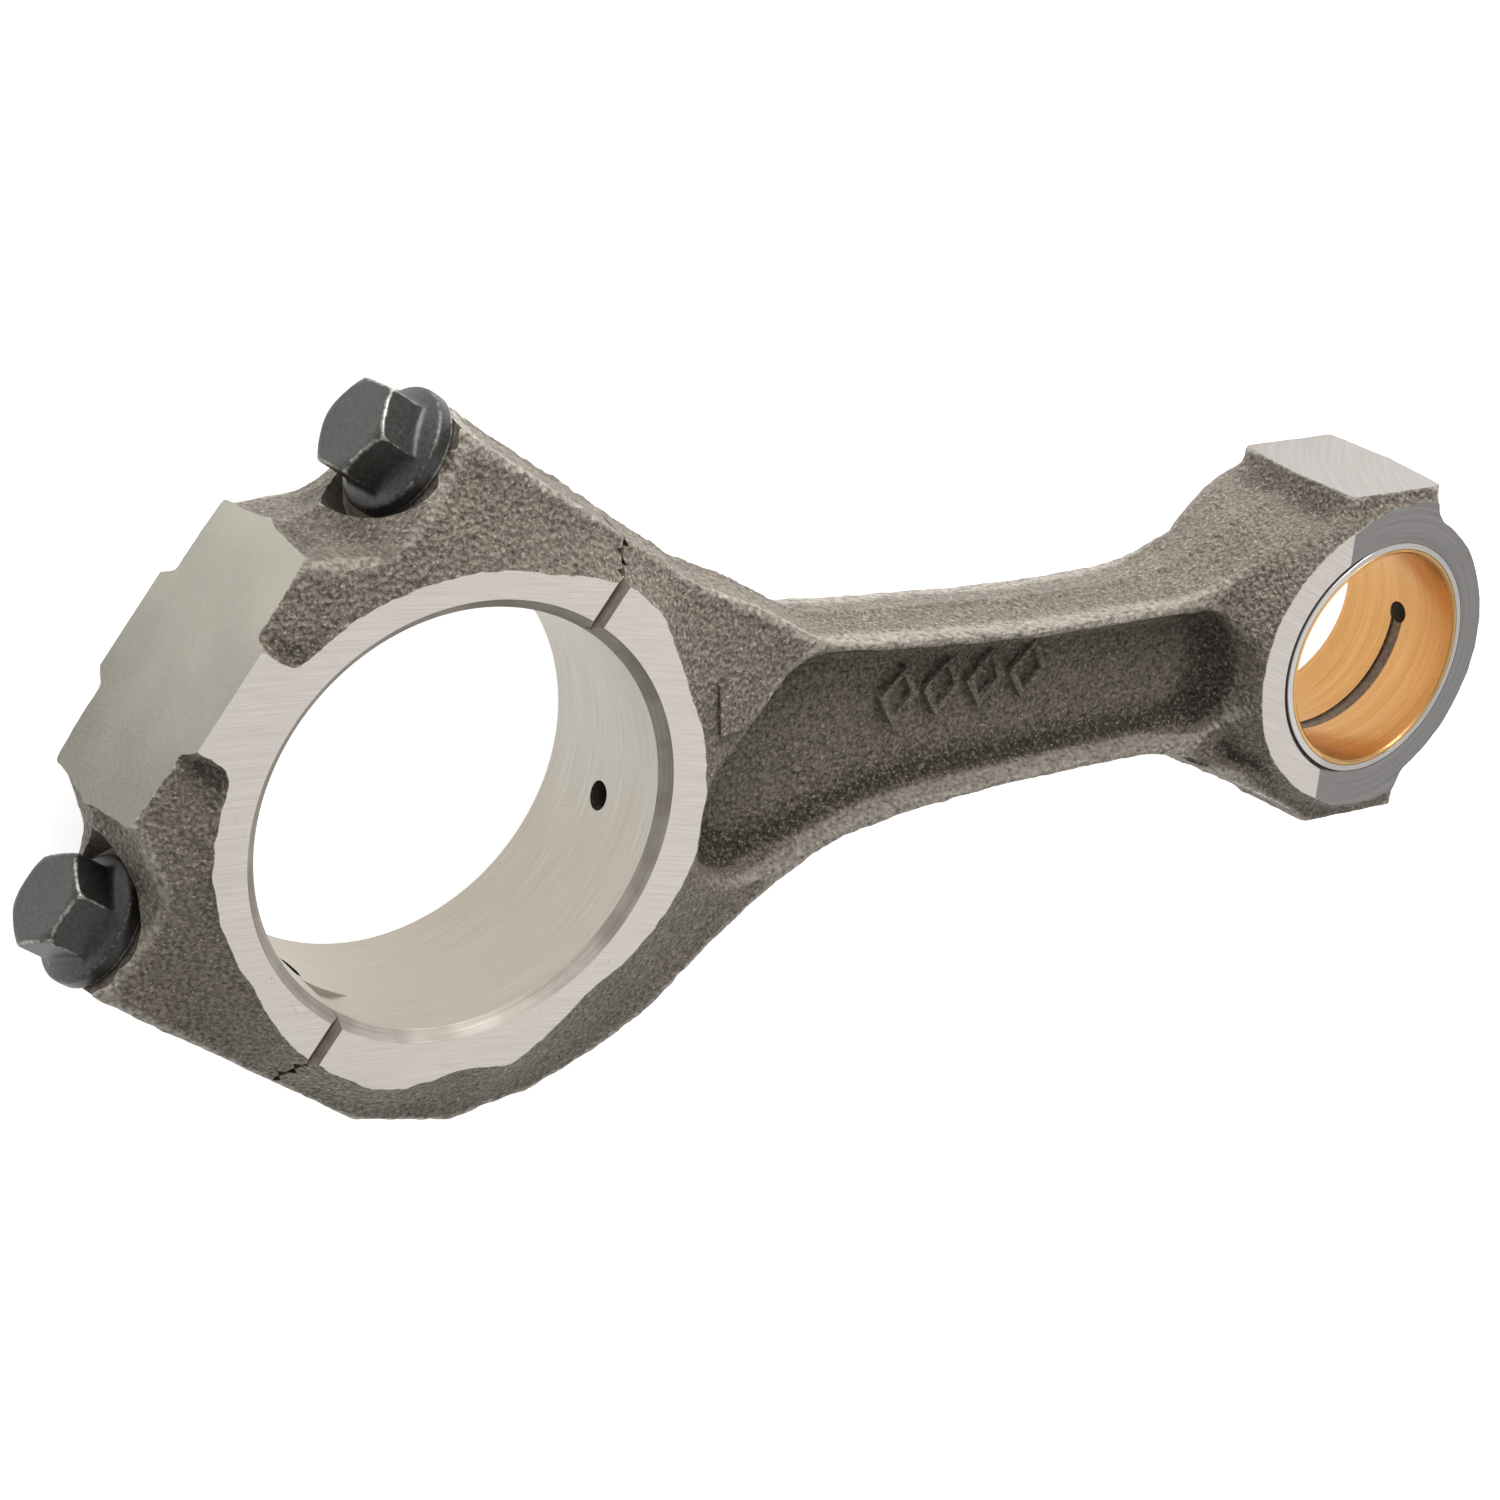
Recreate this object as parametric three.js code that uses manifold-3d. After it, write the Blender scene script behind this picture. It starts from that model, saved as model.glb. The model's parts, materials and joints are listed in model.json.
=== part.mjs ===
// Connecting rod with an obliquely split, serrated big end, for a small diesel engine.
// Millimetres. The origin is the big-end bore axis at mid-thickness, +X runs along the rod to the
// small end, and +Z is the bore axis.
import * as THREE from "three";
import { mergeVertices } from "three/addons/utils/BufferGeometryUtils.js";
import Module from "manifold-3d";

const wasm = await Module();
wasm.setup();

// Driving dimensions
const CENTRES = 179; // bore axis to bore axis
const HALF_WIDTH = 17.25; // side face of either end, from the mid-plane
const CRANK_BORE_R = 33.7;
const BORE_CHAMFER = 1.75;
const SPLIT_ANGLE = THREE.MathUtils.degToRad(55); // joint line, from the rod axis
const GAP = 0.3; // between pieces that touch

// Big end. The joint frame has s along the joint line and c out of the rod into the cap.
const CRANK_RING_R = 41.4; // outer edge of the machined side face
const FLANK_S = 49.1; // flat flank beside each bolt
const FLANK_END_C = -17.5; // where the flank gives way to the rod's shoulder
const PAD_C = 46.5; // machined end pad of the cap
const PAD_S = [-25, 22];
const PAD_FACE_S = [-9.7, 7.1]; // stretch of the pad that meets the side faces
const OUTLINE_Z = 9.5; // half thickness of the forging at its outline
const SHOULDER_Z = 14; // half thickness part way up its sloping sides
const SHOULDER_SHARE = 0.38; // how far out that level lies, from the ring to the outline
const PARTING_PROUD = 0.6; // how far the parting line stands out

// Notches for the tangs of the bearing shells, at the lower joint
const TANG_Z = [4.9, 11.5];
const TANG_DEPTH = 1.4;
const TANG_TURN = 0.27;

// Serrated joint
const TOOTH_PITCH = 2.5;
const TOOTH_HALF_DEPTH = 1.08;
const TOOTH_TIP_CUT = 0.75;
const JOINT_GROOVE = 1; // chamfer of each piece where the joint meets the side faces

// Cap bolts
const BOLT_S = 40.6;
const BOLT_R = 5.5;
const BOLT_TIP_C = -17;
const BOLT_HOLE_C = -19;
const BOLT_TIP_CHAMFER = 1;
const CLEARANCE_HOLE_R = 5.9;
const THREAD_HOLE_R = BOLT_R + GAP;
const SEAT_C = 33.3;
const SEAT_R = 12.2; // spot face round each bolt head
const FLANGE_R = 10.1;
const FLANGE_RIM = 2.7;
const FLANGE_RISE = 0.9; // cone from the rim up to the hexagon
const HEX_FLATS = 14;
const HEX_TOP_C = 43.9;
const CROWN_R = 6.8; // flat circle inside the chamfer of the hexagon's corners
const HEX_CHAMFER_SLOPE = 0.55;
const LOWER_HEX_TURN = THREE.MathUtils.degToRad(24.5); // the lower bolt stopped at another angle

// Shank
const SHANK_Z = 11; // half thickness of the flanges
const FLOOR_Z = 4.6; // half thickness of the web
const POCKET_DRAFT = 1.6; // how far the pocket narrows from its mouth to its floor

// Small end
const PIN_BORE_R = 21;
const PIN_CHAMFER = 0.4;
const PIN_RING_R = 26.6;
const PIN_BARREL_R = 27.6; // forging round the ring, at the mid-plane
const TAPER_START_X = CENTRES - 10.7;
const TAPER_SLOPE = 0.106;
const SMALL_PAD_Y = 30;
const SMALL_PAD_HALF_X = 9.8;
const SMALL_PAD_Z = 14.3;

// Small-end bush
const BACK_R = PIN_BORE_R - 0.25;
const BACK_BORE_R = 20.1;
const LINING_R = BACK_BORE_R - 0.25;
const BUSH_BORE_R = 19;
const OIL_GROOVE_DEPTH = 0.4;
const OIL_GROOVE_HALF = 1.4;

// Oil passage, drilled straight through the tip of the small end to the big-end bore
const OIL_R = 2.3;
const OIL_MOUTH = [32.8, -7.8];

const FINE = 90; // sides of a large circle
const COARSE = 24; // sides of a small circle
const BEYOND = 60; // reach of a cutter that runs clear of the forging

const STEEL = { color: 0x6f6c67, roughness: 0.62, metalness: 0.75 };
const BLACKENED = { color: 0x2b2c2c, roughness: 0.42, metalness: 0.7 };
const BUSH_STEEL = { color: 0xb4b2ae, roughness: 0.35, metalness: 0.9 };
const BRONZE = { color: 0xc8924f, roughness: 0.3, metalness: 0.95 };

// A point [x, y] from its joint coordinates.
function joint(s, c) {
  const cos = Math.cos(SPLIT_ANGLE);
  const sin = Math.sin(SPLIT_ANGLE);
  return [s * cos - c * sin, s * sin + c * cos];
}

// A manifold-3d solid from a closed three.js geometry.
function solid(geometry) {
  geometry.deleteAttribute("normal");
  geometry.deleteAttribute("uv");
  const merged = mergeVertices(geometry, 1e-4);
  const index = merged.index.array;
  const faces = [];
  for (let i = 0; i < index.length; i += 3) {
    const [a, b, c] = index.slice(i, i + 3);
    if (a !== b && b !== c && c !== a) faces.push(a, b, c);
  }
  return new wasm.Manifold(
    new wasm.Mesh({
      numProp: 3,
      vertProperties: merged.attributes.position.array,
      triVerts: new Uint32Array(faces),
    }),
  );
}

// A named mesh from a solid.
function piece(name, body, finish) {
  const made = body.getMesh();
  const points = new Float32Array(made.numVert * 3);
  for (let i = 0; i < made.numVert; i++) {
    const from = i * made.numProp;
    points.set(made.vertProperties.subarray(from, from + 3), i * 3);
  }
  const geometry = new THREE.BufferGeometry();
  geometry.setAttribute("position", new THREE.BufferAttribute(points, 3));
  geometry.setIndex(new THREE.BufferAttribute(new Uint32Array(made.triVerts), 1));
  geometry.computeVertexNormals();
  const mesh = new THREE.Mesh(geometry, new THREE.MeshStandardMaterial(finish));
  mesh.name = name;
  return mesh;
}

// A closed skin over outlines of [x, y], one for each height in levels, from the lowest up. Every
// outline runs anticlockwise and has the same number of points.
function loft(outlines, levels) {
  const count = outlines[0].length;
  const points = outlines.flatMap((outline, k) => outline.flatMap(([x, y]) => [x, y, levels[k]]));
  const faces = [];
  for (let k = 0; k + 1 < outlines.length; k++) {
    for (let i = 0; i < count; i++) {
      const a = k * count + i;
      const b = k * count + ((i + 1) % count);
      faces.push(a, b, b + count, a, b + count, a + count);
    }
  }
  const cap = (outline) =>
    THREE.ShapeUtils.triangulateShape(outline.map(([x, y]) => new THREE.Vector2(x, y)), []);
  const top = (outlines.length - 1) * count;
  for (const [a, b, c] of cap(outlines[0])) faces.push(a, c, b);
  for (const [a, b, c] of cap(outlines.at(-1))) faces.push(top + a, top + b, top + c);
  const geometry = new THREE.BufferGeometry();
  geometry.setAttribute("position", new THREE.Float32BufferAttribute(points, 3));
  geometry.setIndex(faces);
  return solid(geometry);
}

const prism = (outline, low, high) => loft([outline, outline], [low, high]);

// A geometry turned about Z from [radius, z] points, listed upwards on the outside.
function turned(profile, sides = FINE) {
  const points = profile.map(([r, z]) => new THREE.Vector2(r, z));
  return new THREE.LatheGeometry(points, sides).rotateX(Math.PI / 2);
}

const rod = (radius, low, high, sides = FINE) =>
  turned([[0, low], [radius, low], [radius, high], [0, high]], sides);

// Moves a geometry made along +Z onto a cap bolt's axis, so that its z becomes c.
function onBoltAxis(geometry, s) {
  const [x, y] = joint(0, 1);
  const turn = new THREE.Quaternion().setFromUnitVectors(
    new THREE.Vector3(0, 0, 1),
    new THREE.Vector3(x, y, 0),
  );
  const [px, py] = joint(s, 0);
  return geometry.applyQuaternion(turn).translate(px, py, 0);
}

// Where a ray from the big-end bore axis leaves a closed outline.
function reach(outline, angle) {
  const dx = Math.cos(angle);
  const dy = Math.sin(angle);
  let far = 0;
  outline.forEach(([ax, ay], i) => {
    const [bx, by] = outline[(i + 1) % outline.length];
    const cross = dx * (by - ay) - dy * (bx - ax);
    const share = (dy * ax - dx * ay) / cross;
    const distance = (ax * (by - ay) - ay * (bx - ax)) / cross;
    if (share >= -1e-9 && share <= 1 + 1e-9 && distance > far) far = distance;
  });
  return far;
}

// Points of a smooth curve through a few given ones.
const smooth = (points, count) =>
  new THREE.SplineCurve(points.map(([x, y]) => new THREE.Vector2(x, y)))
    .getPoints(count)
    .map((p) => [p.x, p.y]);

// Shoulder of the cap from its end pad down to a bolt seat, for the side given by sign.
function capShoulder(padEdge, sign) {
  const fall = smooth([[0, 0], [0.6, -3], [2.6, -6.2], [6, -9.2], [11, -11.6], [17, -13.2]], 8);
  return fall.map(([s, c]) => joint(padEdge + sign * s, PAD_C + c));
}

// Outline of the big-end forging, cap and rod side together, anticlockwise.
function bigEndOutline() {
  const rodShoulder = [[52.6, 25.6], [57.5, 22.9], [62.9, 19.6], [66, 18.2]];
  const underside = [
    [66, -21], [57.2, -26.2], [47.1, -34.4], [38.6, -41.8], [28.9, -47.6], [17, -52.3],
    [3.3, -54.3],
  ];
  return [
    ...rodShoulder.reverse(),
    joint(FLANK_S, FLANK_END_C),
    joint(FLANK_S, SEAT_C),
    ...capShoulder(PAD_S[1], 1).reverse(),
    ...capShoulder(PAD_S[0], -1),
    joint(-FLANK_S, SEAT_C),
    joint(-FLANK_S, FLANK_END_C),
    ...underside.reverse(),
  ];
}

// The big-end forging: a side face ring at each end of the bore, sloping out to the outline.
function bigEndForging() {
  const outline = bigEndOutline();
  const padFace = [[0, 0], joint(PAD_FACE_S[1], PAD_C), joint(PAD_FACE_S[0], PAD_C)];
  const corners = [...outline, ...padFace.slice(1)].map(([x, y]) => Math.atan2(y, x));
  const even = Array.from({ length: FINE }, (_, i) => -Math.PI + (i * 2 * Math.PI) / FINE);
  const angles = [...even, ...corners].sort((a, b) => a - b);
  const spaced = angles.filter((a, i) => i === 0 || a - angles[i - 1] > 0.008);
  const section = (radius) =>
    spaced.map((a) => [radius(a) * Math.cos(a), radius(a) * Math.sin(a)]);
  const edge = (a) => reach(outline, a);
  const face = (a) => Math.max(CRANK_RING_R, reach(padFace, a));
  const onPad = (a) => {
    const [padX, padY] = joint(0, 1);
    return edge(a) * (Math.cos(a) * padX + Math.sin(a) * padY) > PAD_C - 1;
  };
  const slope = (a) => (onPad(a) ? edge(a) : face(a) + SHOULDER_SHARE * (edge(a) - face(a)));
  const proud = (a) => edge(a) + (onPad(a) ? 0 : PARTING_PROUD);
  const radii = [face, slope, edge, proud, edge, slope, face];
  const levels = [-HALF_WIDTH, -SHOULDER_Z, -OUTLINE_Z, 0, OUTLINE_Z, SHOULDER_Z, HALF_WIDTH];
  return loft(radii.map(section), levels);
}

// Edge of the shank from the big end, where it starts along the given flare, to the small end.
function shankEdge(flare, proud) {
  const edge = [
    ...flare, [95, 15], [110, 14.1], [124, 14], [137, 14.5], [148, 17.7], [158, 23.4], [166, 26],
    [CENTRES, 26.4],
  ];
  return smooth(edge, 26).map(([x, y]) => [x, y + proud]);
}

function shankForging() {
  const outline = (proud) => {
    const upper = shankEdge([[40, 31], [52, 25.4], [62, 19.8], [68, 17.2], [80, 16]], proud);
    const under = shankEdge([[40, 36], [50, 30], [57, 26.2], [63.8, 22], [71, 19], [81, 16.8]], proud);
    return [...under.map(([x, y]) => [x, -y]), ...upper.reverse()];
  };
  const edge = outline(0);
  return loft([edge, outline(PARTING_PROUD), edge], [-SHANK_Z, 0, SHANK_Z]);
}

// Hollow of the I-beam, open towards the big end where its floor runs up to the side-face ring.
function shankPocket(sign) {
  const outline = (inset) => [
    [50, -23 + inset], [58, -20 + inset], [66, -16.2 + inset], [78, -13.8 + inset],
    [95, -12.4 + inset], [120, -11.4 + inset], [142, -11.4 + inset],
    [148 - inset, -9 + inset], [151.5 - inset, 0], [148 - inset, 9 - inset],
    [142, 11.4 - inset], [120, 11.4 - inset], [95, 12.4 - inset], [76, 13.6 - inset],
    [68, 13.4 - inset], [64, 12 - inset], [53 + inset, 0.5], [48 + inset, -4],
  ];
  const levels = [FLOOR_Z, HALF_WIDTH];
  if (sign > 0) return loft([outline(POCKET_DRAFT), outline(0)], levels);
  return loft([outline(0), outline(POCKET_DRAFT)], [-HALF_WIDTH, -FLOOR_Z]);
}

// Barrel round the gudgeon pin with a balance pad above and below.
function smallEndForging() {
  const barrel = turned([
    [0, -HALF_WIDTH], [PIN_RING_R, -HALF_WIDTH], [PIN_BARREL_R, -SHANK_Z],
    [PIN_BARREL_R, SHANK_Z], [PIN_RING_R, HALF_WIDTH], [0, HALF_WIDTH],
  ]);
  const pads = new THREE.BoxGeometry(2 * SMALL_PAD_HALF_X, 2 * SMALL_PAD_Y, 2 * SMALL_PAD_Z);
  return solid(barrel.translate(CENTRES, 0, 0)).add(solid(pads.translate(CENTRES, 0, 0)));
}

// A wedge that tapers the tip of the small end, on the front or the back by sign.
function taperWedge(sign) {
  const end = TAPER_START_X + BEYOND;
  const wedge = [
    [TAPER_START_X, HALF_WIDTH], [end, HALF_WIDTH - TAPER_SLOPE * BEYOND],
    [end, HALF_WIDTH + 1], [TAPER_START_X, HALF_WIDTH + 1],
  ];
  const shape = new THREE.Shape(wedge.map(([x, z]) => new THREE.Vector2(x, sign * z)));
  const geometry = new THREE.ExtrudeGeometry(shape, { depth: 2 * BEYOND, bevelEnabled: false });
  return solid(geometry.rotateX(Math.PI / 2).translate(0, BEYOND, 0));
}

const tapered = (body) => body.subtract(taperWedge(1)).subtract(taperWedge(-1));

// A through bore at x with a chamfer at both side faces.
function bore(radius, chamfer, x) {
  const mouth = radius + chamfer + 1;
  const geometry = turned([
    [0, -HALF_WIDTH - 1], [mouth, -HALF_WIDTH - 1], [radius, -HALF_WIDTH + chamfer],
    [radius, HALF_WIDTH - chamfer], [mouth, HALF_WIDTH + 1], [0, HALF_WIDTH + 1],
  ]);
  return solid(geometry.translate(x, 0, 0));
}

// The oil passage as a long drill.
function oilDrill() {
  const [x, y] = OIL_MOUTH;
  const run = new THREE.Vector3(CENTRES + BUSH_BORE_R - x, -y, 0);
  const turn = new THREE.Quaternion().setFromUnitVectors(
    new THREE.Vector3(0, 0, 1),
    run.clone().normalize(),
  );
  const geometry = rod(OIL_R, -OIL_R, run.length() + BEYOND, COARSE);
  return solid(geometry.applyQuaternion(turn).translate(x, y, 0));
}

// Everything on one side of the serrated joint: the cap's side for sign 1, the rod's for -1.
function jointSide(sign) {
  const half = TOOTH_PITCH / 2;
  const tipHalf = (TOOTH_TIP_CUT * half) / (2 * TOOTH_HALF_DEPTH);
  const lift = (sign * GAP) / 2;
  const root = sign * TOOTH_HALF_DEPTH + lift;
  const tip = -sign * (TOOTH_HALF_DEPTH - TOOTH_TIP_CUT) + lift;
  const rootShift = sign > 0 ? half : 0;
  const teeth = Math.ceil(BEYOND / TOOTH_PITCH);
  const wide = CENTRES + BEYOND;
  const line = [[-wide, sign * wide], [-wide, root]];
  for (let k = -teeth; k <= teeth; k++) {
    const s = k * TOOTH_PITCH + rootShift;
    line.push([s, root], [s + half - tipHalf, tip], [s + half + tipHalf, tip]);
  }
  line.push([wide, tip], [wide, sign * wide]);
  const outline = (sign > 0 ? line : line.reverse()).map(([s, c]) => joint(s, c));
  return prism(outline, -HALF_WIDTH - 1, HALF_WIDTH + 1);
}

// The V along the joint in one side face.
function jointGroove(sign) {
  const depth = JOINT_GROOVE + 1;
  const face = sign * (HALF_WIDTH + 1);
  const shape = new THREE.Shape([
    new THREE.Vector2(-depth, face),
    new THREE.Vector2(0, face - sign * depth),
    new THREE.Vector2(depth, face),
  ]);
  const geometry = new THREE.ExtrudeGeometry(shape, { depth: 2 * BEYOND, bevelEnabled: false });
  const [sx, sy] = joint(1, 0);
  const [cx, cy] = joint(0, 1);
  const basis = new THREE.Matrix4().makeBasis(
    new THREE.Vector3(cx, cy, 0),
    new THREE.Vector3(0, 0, 1),
    new THREE.Vector3(sx, sy, 0),
  );
  return solid(geometry.translate(0, 0, -BEYOND).applyMatrix4(basis));
}

// Notch for a bearing shell's tang at the lower joint, in the cap for sign 1 and the rod for -1.
function tangNotch(sign) {
  const start = SPLIT_ANGLE - Math.PI;
  const at = (r, turn) => {
    const angle = start - sign * turn;
    return [r * Math.cos(angle), r * Math.sin(angle)];
  };
  const outline = [
    at(CRANK_BORE_R - 1, -0.05), at(CRANK_BORE_R + TANG_DEPTH, -0.05),
    at(CRANK_BORE_R, TANG_TURN), at(CRANK_BORE_R - 1, TANG_TURN),
  ];
  const [near, far] = TANG_Z;
  const ordered = sign > 0 ? outline.reverse() : outline;
  return sign > 0 ? prism(ordered, -far, -near) : prism(ordered, near, far);
}

function finishedForging() {
  return tapered(bigEndForging().add(shankForging()).add(smallEndForging()))
    .subtract(shankPocket(1))
    .subtract(shankPocket(-1))
    .subtract(bore(CRANK_BORE_R, BORE_CHAMFER, 0))
    .subtract(bore(PIN_BORE_R, PIN_CHAMFER, CENTRES))
    .subtract(jointGroove(1))
    .subtract(jointGroove(-1));
}

function rodBody(forging) {
  let body = forging.intersect(jointSide(-1)).subtract(oilDrill()).subtract(tangNotch(-1));
  for (const s of [BOLT_S, -BOLT_S]) {
    body = body.subtract(solid(onBoltAxis(rod(THREAD_HOLE_R, BOLT_HOLE_C, BEYOND, COARSE), s)));
  }
  return body;
}

function bearingCap(forging) {
  let body = forging.intersect(jointSide(1)).subtract(tangNotch(1));
  for (const s of [BOLT_S, -BOLT_S]) {
    body = body
      .subtract(solid(onBoltAxis(rod(CLEARANCE_HOLE_R, -BEYOND, BEYOND, COARSE), s)))
      .subtract(solid(onBoltAxis(rod(SEAT_R, SEAT_C, BEYOND, 2 * COARSE), s)));
  }
  return body;
}

// A flanged hexagon bolt whose thread is a plain shank of the thread's outer size.
function capBolt(s, turn) {
  const seat = SEAT_C + GAP;
  const rim = seat + FLANGE_RIM;
  const flangeTop = rim + FLANGE_RISE;
  const cornerR = HEX_FLATS / Math.sqrt(3);
  const stock = 2 * cornerR;
  const shank = [
    [0, BOLT_TIP_C], [BOLT_R - BOLT_TIP_CHAMFER, BOLT_TIP_C],
    [BOLT_R, BOLT_TIP_C + BOLT_TIP_CHAMFER], [BOLT_R, seat], [FLANGE_R, seat],
    [FLANGE_R, rim], [cornerR, flangeTop], [0, flangeTop],
  ];
  const crown = [
    [0, rim], [stock, rim], [stock, HEX_TOP_C - HEX_CHAMFER_SLOPE * (stock - CROWN_R)],
    [CROWN_R, HEX_TOP_C], [0, HEX_TOP_C],
  ];
  const placed = (geometry) => solid(onBoltAxis(geometry, s));
  const hexagon = rod(cornerR, rim, HEX_TOP_C, 6).rotateZ(turn);
  const head = placed(hexagon).intersect(placed(turned(crown, 2 * COARSE)));
  return placed(turned(shank, 2 * COARSE)).add(head);
}

// A plain sleeve of the bush, tapered with the small end and drilled for oil.
function bushSleeve(outer, inner) {
  const tube = turned([
    [inner, -HALF_WIDTH], [outer, -HALF_WIDTH], [outer, HALF_WIDTH], [inner, HALF_WIDTH],
    [inner, -HALF_WIDTH],
  ]);
  return tapered(solid(tube.translate(CENTRES, 0, 0))).subtract(oilDrill());
}

// The oil groove runs under the lining's bore from the shank's oil hole to the one at the tip.
function bushLining() {
  const arc = (r, from, to) =>
    Array.from({ length: COARSE + 1 }, (_, i) => {
      const angle = from + ((to - from) * i) / COARSE;
      return [CENTRES + r * Math.cos(angle), r * Math.sin(angle)];
    });
  const outline = [
    ...arc(BUSH_BORE_R + OIL_GROOVE_DEPTH, -Math.PI, 0),
    ...arc(BUSH_BORE_R - 1, 0, -Math.PI),
  ];
  return bushSleeve(LINING_R, BUSH_BORE_R).subtract(
    prism(outline, -OIL_GROOVE_HALF, OIL_GROOVE_HALF),
  );
}

const forging = finishedForging();
const connectingRod = new THREE.Group();
connectingRod.add(
  piece("rod_body", rodBody(forging), STEEL),
  piece("bearing_cap", bearingCap(forging), STEEL),
  piece("cap_bolt_upper", capBolt(BOLT_S, 0), BLACKENED),
  piece("cap_bolt_lower", capBolt(-BOLT_S, LOWER_HEX_TURN), BLACKENED),
  piece("bush_back", bushSleeve(BACK_R, BACK_BORE_R), BUSH_STEEL),
  piece("bush_lining", bushLining(), BRONZE),
);

export default connectingRod;
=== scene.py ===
"""Looks of the connecting rod: a rough forging with machined faces, two cap bolts and a bush.

Shapes are worked out in millimetres in the frame's own axes and scaled to metres at the end.
Across the big end, s runs along the split and c runs out of the rod into the cap.
"""

import itertools
import json
import math

import bpy
import numpy as np
import openvdb
from mathutils import Matrix, Vector


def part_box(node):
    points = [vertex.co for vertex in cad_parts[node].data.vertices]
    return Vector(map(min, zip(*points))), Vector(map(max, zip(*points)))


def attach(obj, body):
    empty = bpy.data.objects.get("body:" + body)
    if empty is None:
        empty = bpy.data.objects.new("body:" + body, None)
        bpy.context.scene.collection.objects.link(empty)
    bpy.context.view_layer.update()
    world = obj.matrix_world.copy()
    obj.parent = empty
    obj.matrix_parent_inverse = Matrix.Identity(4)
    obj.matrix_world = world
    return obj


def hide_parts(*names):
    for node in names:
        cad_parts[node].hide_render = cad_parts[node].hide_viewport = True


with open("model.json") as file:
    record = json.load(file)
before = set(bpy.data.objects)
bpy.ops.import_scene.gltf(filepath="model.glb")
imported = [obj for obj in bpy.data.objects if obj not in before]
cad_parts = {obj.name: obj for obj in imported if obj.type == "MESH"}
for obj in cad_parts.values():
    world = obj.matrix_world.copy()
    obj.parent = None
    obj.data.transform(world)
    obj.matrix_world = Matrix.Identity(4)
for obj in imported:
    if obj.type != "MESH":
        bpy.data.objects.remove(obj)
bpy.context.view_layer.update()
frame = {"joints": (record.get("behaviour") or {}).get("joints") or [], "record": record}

MM = 0.001
MOUNTS = {m["name"]: m for m in frame["record"]["mounts"]}
JOINTS = {j["name"]: j for j in frame["joints"]}
OUT = Vector(JOINTS["cap_slide"]["axis"])  # unit vector of c
ALONG = Vector((OUT.y, -OUT.x, 0))  # unit vector of s

# Driving dimensions, from the frame where it has them
HALF_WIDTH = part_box("rod_body")[1].z / MM
PIN_X = MOUNTS["gudgeon_pin_axis"]["pos_m"][0] / MM
PAD_C = Vector(MOUNTS["cap_end_pad"]["pos_m"]).dot(OUT) / MM
BOLT_S = Vector(JOINTS["bolt_upper_turn"]["pos_m"]).dot(ALONG) / MM
CRANK_BORE_R = 33.7
BORE_CHAMFER = 1.75
PIN_BORE_R = 21
PIN_CHAMFER = 0.65
BEYOND = 70  # reach of a cutter that runs clear of the forging
CUT_Z = 25  # half height of a cutter that runs clear of both side faces
SHARP_ANGLE = math.radians(35)

# Rough forging
STEP = 0.66  # spacing of the grid that its skin is found on
STOCK = 0.9  # height left for machining above the side faces
PAD_S = (-25, 22)
PAD_FACE_S = (-9.7, 7.1)
FLANK_S = 49.1
FLANK_END_C = -17.5
BOSS_C = 34.4
PARTING_PROUD = 0.6
PARTING_REACH = 7
FLASH = 0.35
FLASH_REACH = 1.1
DRAFT = 0.06
SHOULDER_DRAFT = 0.26  # of the saddle between the end pad and a bolt boss
PAD_END_Z = 14
PAD_RISE = 0.36
OUTLINE_Z = 9.5
SHANK_Z = 11
WEB_Z = 4.9
POCKET_FILLET = 5.0
POCKET_SLOPE = 3.2
PIN_RING_R = 26.6
PIN_BARREL_R = 26.7
SMALL_PAD_Y = 30
SMALL_PAD_Z = 14.7
PATCH_X = (43.8, 50)
PATCH_Y = (7, 15)
PATCH_RAISED = 0.75
MARK_START = (84.6, 3.5)
MARK_SPACING = (8.6, 0.3)
MARKS = 4
SKIN_WAVES = [(1.4, 0.14), (3.2, 0.13), (12, 0.16)]  # cell and height of each size of roughness

# Where the ground side face of the big end runs out into the forging: degrees and radius
FACE_RUNOUT = [
    (-196, 41.0), (-172, 40.4), (-148, 39.4), (-132, 41.1), (-117, 42.4), (-104, 43.2), (-89, 40.9),
    (-76, 42.9), (-57, 39.7), (-38, 41.0), (-22, 42.0), (-8, 41.9), (7, 41.2), (26, 40.6),
    (42, 42.6), (53, 42.6), (63, 41.1), (76, 39.8), (102, 40.0), (128, 40.4), (150, 41.0), (188, 40.4),
]

# Serrated split
TOOTH_PITCH = 2.5
TOOTH_HALF_DEPTH = 1.08
TOOTH_TIP_CUT = 1.25  # of the outer teeth, which leaves small voids at the flanks
INNER_TIP_CUT = 0.08
INNER_S = 42
TOOTH_END_Z = 15.9  # the split is plain inside its groove
TOOTH_FADE = 0.1
SPLIT_PLAY = 0.12
JOINT_GROOVE = 1.15

# Notches for the tangs of the bearing shells
TANG_Z = (4.9, 11.5)
TANG_DEPTH = 1.4
TANG_TURN = 0.27

# Oil passage, from the small end's tip to the big-end bore
OIL_R = 2.3
BUSH_OIL_R = 2.0
OIL_MOUTH = (32.8, -7.8)

# Small end
TAPER_START = PIN_X - 10.7
TAPER_SLOPE = 0.106

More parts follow.
